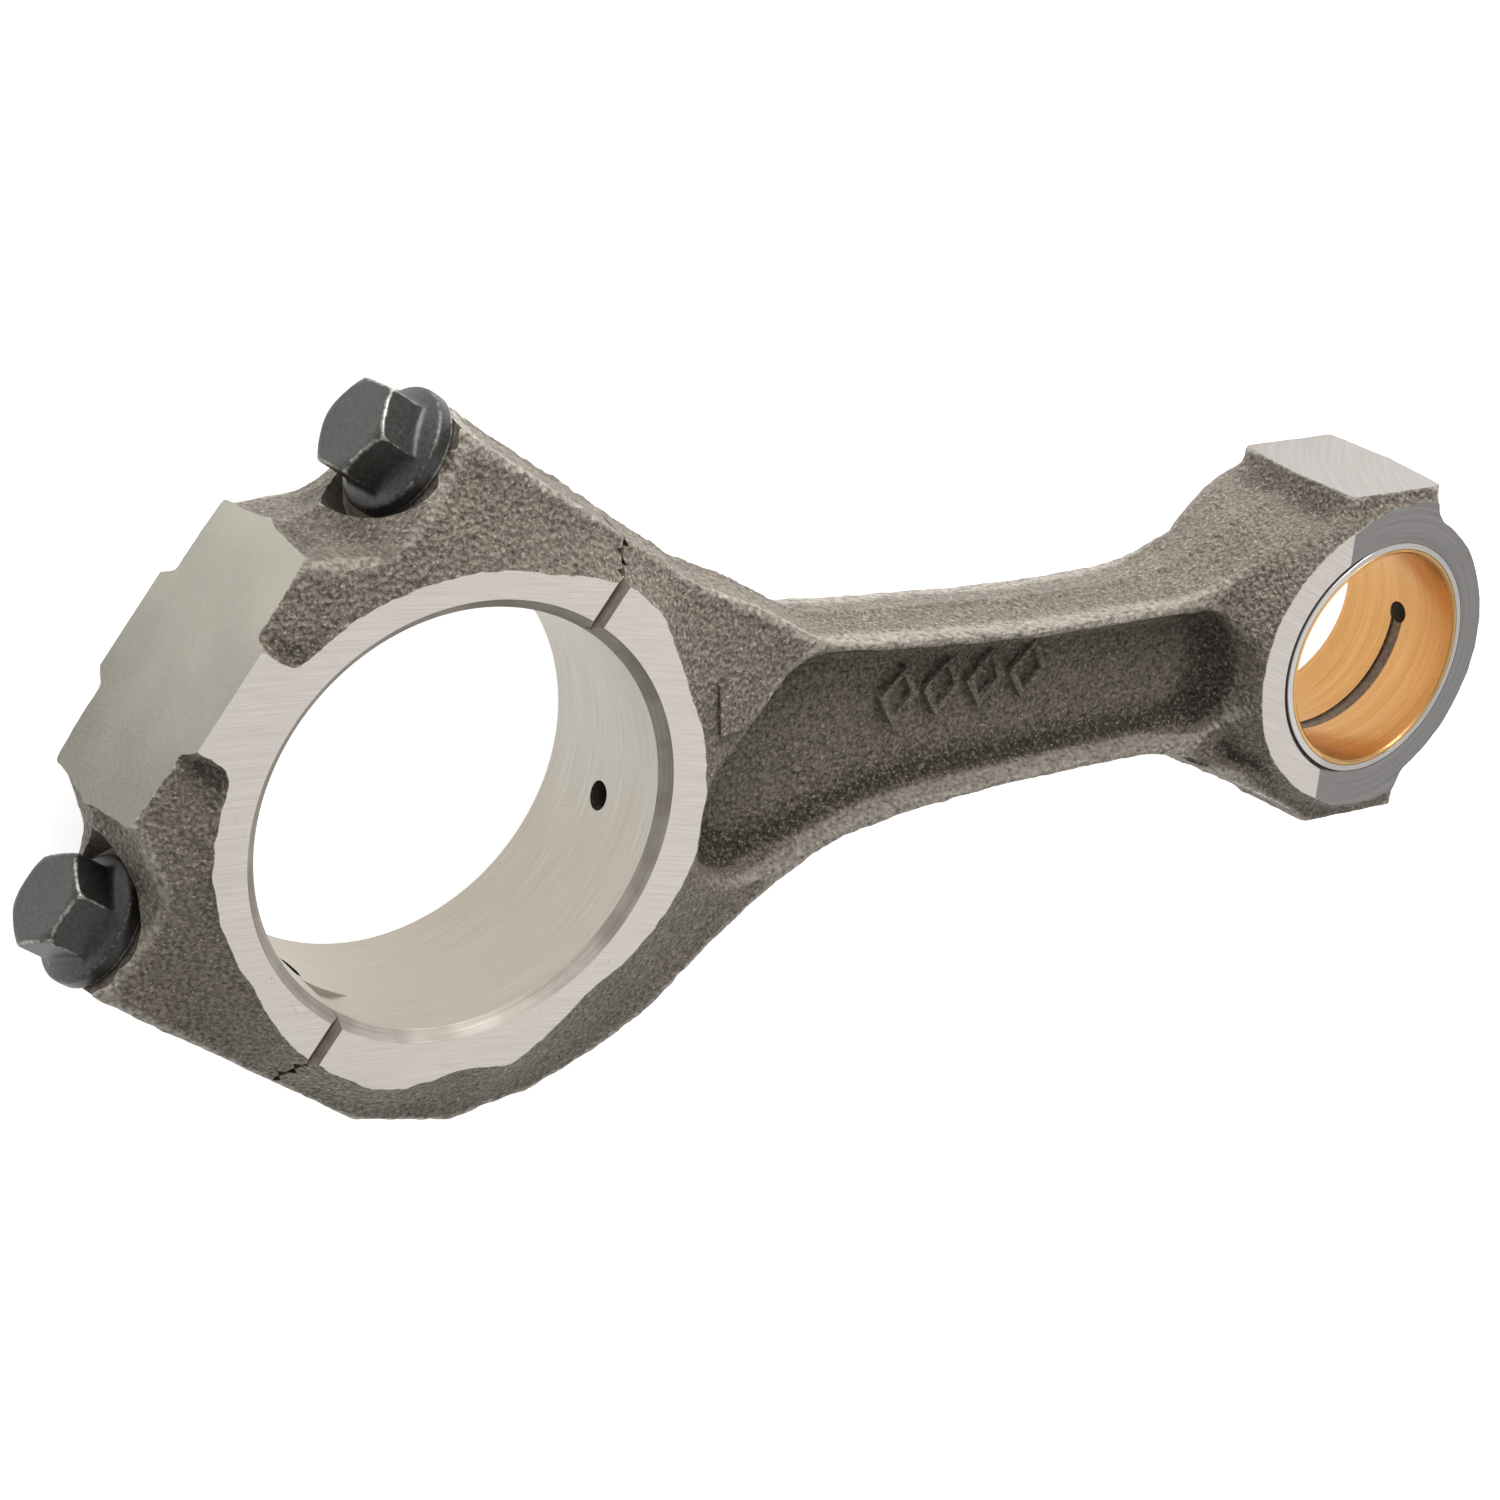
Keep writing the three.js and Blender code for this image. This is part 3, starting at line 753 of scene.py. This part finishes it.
def pad_outline(sign):
    """A balance pad. The lower one has a long slope up from the shank."""
    foot = (PIN_X - 14.5, 22) if sign > 0 else (PIN_X - 34, 17)
    heel = (PIN_X - 10.7, 28) if sign > 0 else (PIN_X - 12.8, 28.6)
    points = [foot, (PIN_X + 12, 22), (PIN_X + 11.1, 26), (PIN_X + 11, SMALL_PAD_Y + 1.5),
              (PIN_X - 10.2, SMALL_PAD_Y + 1.5), heel]
    return [(x, sign * y) for x, y in points]


def pads_field(x, y):
    return np.minimum(outline_field(pad_outline(1), x, y), outline_field(pad_outline(-1), x, y))


def plan_field(x, y):
    """Signed distance to the forging's outline at its parting line."""
    big = outline_field(big_end_outline(), x, y)
    shank = outline_field(shank_outline(), x, y)
    small = np.hypot(x - PIN_X, y) - PIN_BARREL_R
    return smooth_min(smooth_min(big, shank, 1.0), smooth_min(small, pads_field(x, y), 1.6), 2.0)


def ring_gap(x, y):
    """How far a point lies outside the big end's ground side face."""
    angle = np.degrees(np.arctan2(y, x))
    degrees, radii = zip(*spline(FACE_RUNOUT, 300))
    round_part = np.hypot(x, y) - np.interp(angle, degrees, radii)
    s, c = joint_coords(x, y)
    tongue = np.maximum(s - PAD_FACE_S[1], PAD_FACE_S[0] - s)
    tongue = np.where(c > CRANK_BORE_R / 2, tongue, BEYOND)
    return smooth_min(round_part, tongue, 3.0)


def big_end_height(x, y):
    gap = ring_gap(x, y)
    rim = -outline_field(big_end_rim(), x, y)
    share = np.clip(gap / np.maximum(np.maximum(gap, 0) + np.maximum(rim, 0), 1e-3), -1, 1)
    slope = HALF_WIDTH - (HALF_WIDTH - OUTLINE_Z) * np.abs(share) ** 0.9
    _, c = joint_coords(x, y)
    slope = smooth_min(slope, np.maximum(PAD_END_Z + PAD_RISE * (PAD_C - c), HALF_WIDTH - 2 * gap), 1.0)
    stock = HALF_WIDTH + np.minimum(STOCK, -0.7 * gap)
    return np.where(gap > 0, slope, stock) - 2 * np.maximum(-rim, 0)


def small_end_height(x, y):
    gap = np.hypot(x - PIN_X, y) - PIN_RING_R
    barrel = HALF_WIDTH + np.minimum(STOCK, -1.15 * gap)
    return np.maximum(barrel, -20)


def pocket_height(x, y):
    distance = outline_field(pocket_outline(), x, y)
    into = np.clip(distance + POCKET_FILLET, 0, POCKET_FILLET)
    fillet = POCKET_FILLET - np.sqrt(POCKET_FILLET**2 - into**2)
    return WEB_Z + fillet + POCKET_SLOPE * np.maximum(distance, 0)


def pocket_painted_shade(x, y):
    """Painted shade on the walls of the shank's hollow, thickest along its underside."""
    distance = outline_field(pocket_outline(), x, y)
    wide = 2.2 + 2.2 * eased(-y, -2, 6)
    return eased(wide / 2 - np.abs(distance + wide / 2), 0, 0.35 * wide)


def top_height(x, y):
    """Height of the forging's skin above the mid-plane, outside the shank's hollow."""
    land = np.full(x.shape, float(SHANK_Z))
    height = smooth_max(big_end_height(x, y), land, 2.0)
    height = smooth_max(height, small_end_height(x, y), 2.2)
    return smooth_max(height, SMALL_PAD_Z - 3 * np.maximum(pads_field(x, y), 0), 1.2)


def eased(value, low, high):
    """The value's place from low to high, as 0 to 1 with soft ends."""
    t = np.clip((value - low) / (high - low), 0, 1)
    return t * t * (3 - 2 * t)


def wall_draft(x, y):
    """Taper of the forging's walls away from the parting line, strongest on the cap's saddles."""
    s, c = joint_coords(x, y)
    beside = np.where(s > 0, s - PAD_S[1], PAD_S[0] - s)
    saddle = eased(beside, 0, 7) * eased(FLANK_S - np.abs(s), 1, 6) * eased(c, 20, 30)
    return DRAFT + (SHOULDER_DRAFT - DRAFT) * saddle


def forging_field(x, y, z):
    """Below zero inside the rough forging. x and y are a flat grid, z its levels."""
    plan = plan_field(x, y)
    draft = wall_draft(x, y)
    trim = 1 - 0.6 * eased(x, 150, 165)  # the parting line is dressed flat round the small end
    soft = 1.3 + 4.5 * eased(x, 60, 50) * eased(y, 5, -3)  # the hollow fades out towards the bore
    height = smooth_min(top_height(x, y), pocket_height(x, y), soft)
    dx, dy = np.gradient(height, STEP)
    even = 1 / np.sqrt(1 + dx * dx + dy * dy)
    field = np.empty((*x.shape, len(z)), np.float32)
    for k, level in enumerate(z):
        lift = PARTING_PROUD * max(0.0, 1 - abs(level) / PARTING_REACH)
        flash = FLASH * max(0.0, 1 - abs(level) / FLASH_REACH)
        wall = plan + draft * abs(level) - trim * (lift + flash)
        field[:, :, k] = smooth_max(wall, (abs(level) - height) * even, 1.0)
    return field


def forge_marks(obj, material):
    """Plain raised lozenges on the web, where a forging carries its die mark, and a flat patch."""
    for k in range(MARKS):
        x, y = (start + spacing * k for start, spacing in zip(MARK_START, MARK_SPACING))
        lozenge = [(x + 3.9, y), (x + 1, y + 5), (x - 3.9, y), (x - 1, y - 5)]
        hollow = grown(lozenge, -1.7)
        combine(obj, loft("mark", [grown(lozenge, 0.5), lozenge], [0, WEB_Z + 1.3], material), "UNION")
        combine(obj, loft("mark", [hollow, grown(hollow, 0.3)], [WEB_Z + 0.1, WEB_Z + 2], material))
    patch = rectangle(*PATCH_X, *PATCH_Y)
    heights = top_height(*(np.array([a]) for a in zip(*patch)))[0] + PATCH_RAISED
    block = prism("patch", patch, 0, 1, material)
    for vertex, z in zip(list(block.data.vertices)[len(patch):], heights):
        vertex.co.z = z
    combine(obj, block, "UNION")


def roughened(obj):
    """Gives the forging's skin its uneven surface."""
    points = vertex_points(obj.data)
    normals = np.empty(len(points) * 3, np.float32)
    obj.data.vertex_normals.foreach_get("vector", normals)
    lift = sum(height * lattice_noise(points, cell, k) for k, (cell, height) in enumerate(SKIN_WAVES))
    obj.data.vertices.foreach_set("co", (points + normals.reshape(-1, 3) * lift[:, None]).ravel())
    obj.data.update()


# ---------------------------------------------------------------- machining


def bore_tool(radius, x, material):
    tool = lathe("bore_tool", [(radius, -CUT_Z), (radius, CUT_Z)], 256, material)
    return place(tool, Matrix.Translation((x, 0, 0)))


def mouth_tool(radius, chamfer, x, side, material):
    """Chamfer of a bore at one side face."""
    over = 3
    inner = (radius - over, side * (HALF_WIDTH - chamfer - over))
    outer = (radius + chamfer + over, side * (HALF_WIDTH + over))
    tool = lathe("mouth_tool", [inner, outer][::side], 256, material)
    return place(tool, Matrix.Translation((x, 0, 0)))


def joint_side(sign, material):
    """Everything on one side of the serrated split: the cap's side for 1, the rod's for -1.

    The teeth end before the hollows between them, so that the two sides stay clear.
    """
    half = TOOTH_PITCH / 2
    lift = sign * SPLIT_PLAY / 2
    root = sign * TOOTH_HALF_DEPTH + lift
    shift = half if sign > 0 else 0
    wide = PIN_X + BEYOND
    teeth = [(-wide, sign * wide), (-wide, root)]
    for k in range(-24, 25):
        s = k * TOOTH_PITCH + shift
        cut = TOOTH_TIP_CUT if abs(s + half) > INNER_S else INNER_TIP_CUT
        tip = -sign * (TOOTH_HALF_DEPTH - cut) + lift
        tip_half = cut * half / (2 * TOOTH_HALF_DEPTH)
        teeth += [(s, root), (s + half - tip_half, tip), (s + half + tip_half, tip)]
    teeth += [(wide, root), (wide, sign * wide)]
    if sign < 0:
        teeth.reverse()
    toothed = [joint_point(s, c) for s, c in teeth]
    hollows = [joint_point(s, sign * max(sign * c, sign * lift)) for s, c in teeth]
    plain = [joint_point(s, c if abs(c) == wide else lift) for s, c in teeth]
    levels = [TOOTH_END_Z, TOOTH_END_Z + TOOTH_FADE, TOOTH_END_Z + 2 * TOOTH_FADE, CUT_Z]
    outlines = [toothed, hollows, plain, plain]
    heights = [*[-z for z in levels[::-1]], *levels]
    return loft("joint_side", [*outlines[::-1], *outlines], heights, material)


def joint_groove(side, material):
    depth = JOINT_GROOVE + 1
    face = side * (HALF_WIDTH + 1)
    points = []
    for s in (-BEYOND, BEYOND):
        for c, z in ((-depth, face), (0, face - side * depth), (depth, face)):
            points.append((*joint_point(s, c), z))
    faces = [(2, 1, 0), (3, 4, 5), (1, 4, 3, 0), (2, 5, 4, 1), (0, 3, 5, 2)]
    if side < 0:
        faces = [f[::-1] for f in faces]
    return mesh_object("groove_tool", points, faces, material)


def taper_tool(sign, material):
    end = TAPER_START + BEYOND
    section = [(TAPER_START, HALF_WIDTH), (end, HALF_WIDTH - TAPER_SLOPE * BEYOND),
               (end, HALF_WIDTH + 3), (TAPER_START, HALF_WIDTH + 3)]
    points = [(x, y, sign * z) for y in (-BEYOND, BEYOND) for x, z in section]
    faces = [(0, 1, 2, 3), (7, 6, 5, 4), *[(i, i + 4, (i + 1) % 4 + 4, (i + 1) % 4) for i in range(4)]]
    if sign < 0:
        faces = [f[::-1] for f in faces]
    return mesh_object("taper_tool", points, faces, material)


def oil_drill(radius, material):
    x, y = OIL_MOUTH
    run = Vector((PIN_X + BUSH_BORE_R - x, -y, 0))
    tool = lathe("oil_drill", [(radius, -OIL_R), (radius, run.length + BEYOND)], 48, material)
    turn = Vector((0, 0, 1)).rotation_difference(run.normalized())
    return place(tool, Matrix.Translation((x, y, 0)) @ turn.to_matrix().to_4x4())


def tang_tool(sign, material):
    """Notch for a bearing shell's tang at the lower joint: the cap's for 1, the rod's for -1."""
    start = math.atan2(-ALONG.y, -ALONG.x)
    ends = [(CRANK_BORE_R - 1, -0.05), (CRANK_BORE_R + TANG_DEPTH, -0.05),
            (CRANK_BORE_R + 0.6 * TANG_DEPTH, 0.5 * TANG_TURN), (CRANK_BORE_R - 0.2, TANG_TURN),
            (CRANK_BORE_R - 1, TANG_TURN)]
    outline = [(r * math.cos(start - sign * a), r * math.sin(start - sign * a)) for r, a in ends]
    low, high = sorted((-sign * TANG_Z[0], -sign * TANG_Z[1]))
    return prism("tang_tool", outline[::-sign], low, high, material)


def hole_tool(s, radius, low, mouth_sign, material):
    """A hole on a bolt's axis, chamfered where it meets the split."""
    mouth = radius + HOLE_CHAMFER + TOOTH_HALF_DEPTH
    if mouth_sign < 0:
        profile = [(radius, low), (radius, -HOLE_CHAMFER - TOOTH_HALF_DEPTH), (mouth, 0), (mouth, 3)]
    else:
        profile = [(mouth, -3), (mouth, 0), (radius, HOLE_CHAMFER + TOOTH_HALF_DEPTH), (radius, BEYOND)]
    return place(lathe("hole_tool", profile, 64, material), on_bolt_axis(s))


def seat_tool(s, material):
    profile = [(SEAT_R - 0.4, SEAT_C), (SEAT_R, SEAT_C + 0.4), (SEAT_R, BEYOND)]
    return place(lathe("seat_tool", profile, 128, material), on_bolt_axis(s))


def machine_both(obj, finishes):
    """Cuts that are made with the cap and the rod in one piece."""
    wide = PIN_X + BEYOND
    whole = rectangle(-BEYOND, wide, -BEYOND, BEYOND)
    for sign in (1, -1):
        levels = sorted((sign * HALF_WIDTH, sign * CUT_Z))
        combine(obj, prism("face_tool", whole, *levels, finishes["ground"]))
    pad = [joint_point(s, c) for s, c in ((-40, PAD_C), (-40, PAD_C + 20), (40, PAD_C + 20), (40, PAD_C))]
    combine(obj, prism("pad_tool", pad[::-1], -CUT_Z, CUT_Z, finishes["pad"]))
    for sign in (1, -1):
        y0, y1 = sorted((sign * SMALL_PAD_Y, sign * (SMALL_PAD_Y + 10)))
        outline = rectangle(PIN_X - 30, PIN_X + 30, y0, y1)
        combine(obj, prism("pad_tool", outline, -CUT_Z, CUT_Z, finishes["milled"]))
        combine(obj, taper_tool(sign, finishes["tapered"]))
        combine(obj, joint_groove(sign, finishes["joint"]))
        combine(obj, mouth_tool(CRANK_BORE_R, BORE_CHAMFER, 0, sign, finishes["chamfer"]))
        combine(obj, mouth_tool(PIN_BORE_R, PIN_CHAMFER, PIN_X, sign, finishes["seat"]))
    combine(obj, bore_tool(CRANK_BORE_R, 0, finishes["bored"]))
    combine(obj, bore_tool(PIN_BORE_R, PIN_X, finishes["seat"]))


def forged_pieces(finishes):
    """The rod and its cap, cut from one forging."""
    low, high = (-68, -60, -19.8), (209, 60, 19.8)
    x, y, z = (np.arange(a, b, STEP) for a, b in zip(low, high))
    field = forging_field(*np.meshgrid(x, y, indexing="ij"), z)
    rod = field_object("rod", field, np.array(low), STEP, finishes["forged"])
    roughened(rod)
    forge_marks(rod, finishes["forged"])
    machine_both(rod, finishes)
    cap = new_object("cap", rod.data.copy())
    combine(rod, joint_side(-1, finishes["joint"]), "INTERSECT")
    combine(cap, joint_side(1, finishes["joint"]), "INTERSECT")
    combine(rod, oil_drill(OIL_R, finishes["seat"]))
    for side, piece in ((-1, rod), (1, cap)):
        combine(piece, tang_tool(side, finishes["bored"]))
        for s in (BOLT_S, -BOLT_S):
            radius = THREAD_HOLE_R if side < 0 else CLEARANCE_HOLE_R
            combine(piece, hole_tool(s, radius, BOLT_HOLE_C, side, finishes["seat"]))
    for s in (BOLT_S, -BOLT_S):
        combine(cap, seat_tool(s, finishes["seat"]))
    bends = bend(field, STEP, 5)
    wide_bends = bend(field, STEP, 9)
    for piece in (rod, cap):
        points = vertex_points(piece.data)
        near = sampled(bends, low, STEP, points)
        far = sampled(wide_bends, low, STEP, points)
        store(piece.data, "ridge", np.clip(near / 0.38, 0, 1))
        # The hollow mask is painted shade, in the skin's hollows and on the walls of the shank's hollow.
        hollow = np.maximum(np.clip(-far / 0.15, 0, 1), pocket_painted_shade(points[:, 0], points[:, 1]))
        store(piece.data, "hollow", hollow)
        skin = [m.name for m in piece.data.materials].index(finishes["forged"].name)
        mark_rims(piece.data, skin)
    return rod, cap


# ---------------------------------------------------------------- bolts and bush


def head_field(x, y, c, turn):
    """Hexagon and flange of a bolt, standing on its seat."""
    radius = np.hypot(x, y)
    across = [np.abs(x * math.cos(a) + y * math.sin(a)) for a in (turn + k * math.pi / 3 for k in range(3))]
    hexagon = np.maximum.reduce(across) - HEX_FLATS / 2
    crown = (c - HEX_TOP_C + CROWN_SLOPE * (radius - CROWN_R)) / math.hypot(1, CROWN_SLOPE)
    head = smooth_max(hexagon, smooth_max(crown, c - HEX_TOP_C, 0.25), 0.4)
    cone = (c - FLANGE_RIM_C + FLANGE_SLOPE * (radius - FLANGE_R)) / math.hypot(1, FLANGE_SLOPE)
    flange = smooth_max(radius - FLANGE_R, cone, 0.6)
    return smooth_max(smooth_min(head, flange, 0.9), SEAT_C + SPLIT_PLAY - c, 0.3)


def bolt_head(turn, material):
    low = (-FLANGE_R - 0.6, -FLANGE_R - 0.6, SEAT_C - 0.6)
    high = (FLANGE_R + 0.6, FLANGE_R + 0.6, HEX_TOP_C + 0.6)
    axes = [np.arange(a, b, HEAD_STEP) for a, b in zip(low, high)]
    field = head_field(*np.meshgrid(*axes, indexing="ij"), turn)
    head = field_object("head", field, np.array(low), HEAD_STEP, material)
    return head, bend(field, HEAD_STEP, 3), low


def bolt_shank(material):
    """Plain shank that turns into a rolled thread with a chamfered tip."""
    sides = 72
    levels = np.arange(BOLT_TIP_C, THREAD_END_C, THREAD_PITCH / 10)
    outlines = []
    for c in levels:
        angle = 2 * np.pi * np.arange(sides) / sides
        flank = np.abs((c / THREAD_PITCH - angle / (2 * np.pi)) % 1 - 0.5) * 2
        depth = THREAD_DEPTH * np.clip((flank - 0.125) / 0.625, 0, 1)
        radius = BOLT_R - THREAD_PLAY - depth * np.clip((THREAD_END_C - c) / THREAD_FADE, 0, 1)
        radius = np.minimum(radius, BOLT_R - TIP_CHAMFER + c - BOLT_TIP_C)
        outlines.append(list(zip(radius * np.cos(angle), radius * np.sin(angle))))
    outlines += [circle(BOLT_R - THREAD_PLAY, sides)] * 2
    return loft("shank", outlines, [*levels, THREAD_END_C, FLANGE_RIM_C], material)


def cap_bolt(s, turn, material):
    head, bends, low = bolt_head(turn, material)
    combine(head, bolt_shank(material), "UNION")
    points = vertex_points(head.data)
    on_head = points[:, 2] > SEAT_C
    sharpness = np.clip(sampled(bends, low, HEAD_STEP, points) / 1.6, 0, 1)
    store(head.data, "ridge", np.where(on_head, sharpness, 0))
    return place(head, on_bolt_axis(s))


def sleeve(name, outer, inner, inner_chamfer, material):
    """A tube round the pin whose ends follow the taper of the small end."""
    sides = 288
    section = [
        (inner, -1, inner_chamfer), (inner + inner_chamfer, -1, 0), (outer - 0.1, -1, 0), (outer, -1, 0.1),
        (outer, 1, 0.1), (outer - 0.1, 1, 0), (inner + inner_chamfer, 1, 0), (inner, 1, inner_chamfer),
    ]
    count = len(section)
    points = []
    for cos, sin in circle(1, sides):
        for radius, end, inset in section:
            x = PIN_X + radius * cos
            half = HALF_WIDTH - TAPER_SLOPE * max(0, x - TAPER_START)
            points.append((x, radius * sin, end * (half - inset)))
    faces = []
    for i, k in itertools.product(range(sides), range(count)):
        a, b = i * count, (i + 1) % sides * count
        faces.append((a + k, b + k, b + (k + 1) % count, a + (k + 1) % count))
    return mesh_object(name, points, faces, material)


def bush(finishes):
    back = sleeve("back", BACK_R, LINING_R + BUSH_PLAY, 0.02, finishes["bush_steel"])
    lining = sleeve("lining", LINING_R, BUSH_BORE_R, BUSH_CHAMFER, finishes["bronze"])
    for piece in (back, lining):
        combine(piece, oil_drill(BUSH_OIL_R, finishes["groove"]))
    outline = [*arc(OIL_GROOVE_R, -math.pi, 0, 96), *arc(BUSH_BORE_R - 1, 0, -math.pi, 96)]
    groove = prism("groove_tool", outline, -OIL_GROOVE_HALF, OIL_GROOVE_HALF, finishes["groove"])
    combine(lining, place(groove, Matrix.Translation((PIN_X, 0, 0))))
    return back, lining


# ---------------------------------------------------------------- studio

FLOOR_GLOW = 0.75
FLOOR_REACH = 12
WORLD_LIGHT = 0.5
TARGET = Vector((0.06, 0, 0))
LIGHTS = [
    # name, place, width and power
    ("key", (0.2, 0.95, 0.2), 0.8, 17),
    ("overhead", (0.55, -0.35, 0.85), 0.9, 2.0),
]


def add_light(name, position, width, power):
    lamp = bpy.data.lights.new(name, "AREA")
    lamp.size = width
    lamp.energy = power
    obj = bpy.data.objects.new(name, lamp)
    bpy.context.scene.collection.objects.link(obj)
    obj.location = position
    obj.rotation_euler = (TARGET - obj.location).to_track_quat("-Z", "Y").to_euler()


def studio():
    low = -HALF_WIDTH * MM
    corners = [(x, y, low) for x, y in rectangle(-FLOOR_REACH, FLOOR_REACH, -FLOOR_REACH, FLOOR_REACH)]
    floor = mesh_object("floor", corners, [(0, 1, 2, 3)], floor_finish())
    for light in LIGHTS:
        add_light(*light)
    world = bpy.data.worlds.new("world")
    world.use_nodes = True
    world.node_tree.nodes["Background"].inputs["Color"].default_value = (1.0, 0.985, 0.96, 1)
    world.node_tree.nodes["Background"].inputs["Strength"].default_value = WORLD_LIGHT
    bpy.context.scene.world = world
    bpy.context.scene.view_settings.view_transform = "Standard"


def add_camera():
    camera = bpy.data.objects.new("camera", bpy.data.cameras.new("camera"))
    bpy.context.scene.collection.objects.link(camera)
    camera.data.lens, camera.data.sensor_width = 86.24, 36
    right = Vector((0.84365, 0.07679, 0.53138))
    up = Vector((0.14931, 0.91713, -0.36958))
    back = Vector((-0.51572, 0.39113, 0.76227))
    axes = Matrix((right, up, back)).transposed().to_4x4()
    camera.matrix_world = Matrix.Translation(Vector((-236.31, 220.6, 438.87)) * MM) @ axes
    bpy.context.scene.camera = camera


# ---------------------------------------------------------------- assembly

add_camera()
studio()
finishes = {
    "forged": forged_finish(), "ground": ground_finish(), "bored": bored_finish(), "pad": pad_finish(),
    "milled": milled_finish(), "tapered": tapered_finish(), "joint": joint_finish(),
    "seat": seat_finish(), "bush_steel": bush_steel_finish(), "bronze": bronze_finish(),
    "groove": groove_finish(), "black": blackened_finish(), "chamfer": chamfer_finish(),
}
rod, cap = forged_pieces(finishes)
back, lining = bush(finishes)
finished(rod, "rod_forging", "rod", "rod_body")
finished(cap, "cap_forging", "cap", "bearing_cap")
finished(back, "bush_sleeve", "rod", "bush_back")
finished(lining, "bush_bronze", "rod", "bush_lining")
for s, turn, side in ((BOLT_S, 0.0, "upper"), (-BOLT_S, LOWER_HEX_TURN, "lower")):
    bolt = cap_bolt(s, turn, finishes["black"])
    finished(bolt, f"{side}_bolt", f"bolt_{side}", f"cap_bolt_{side}")
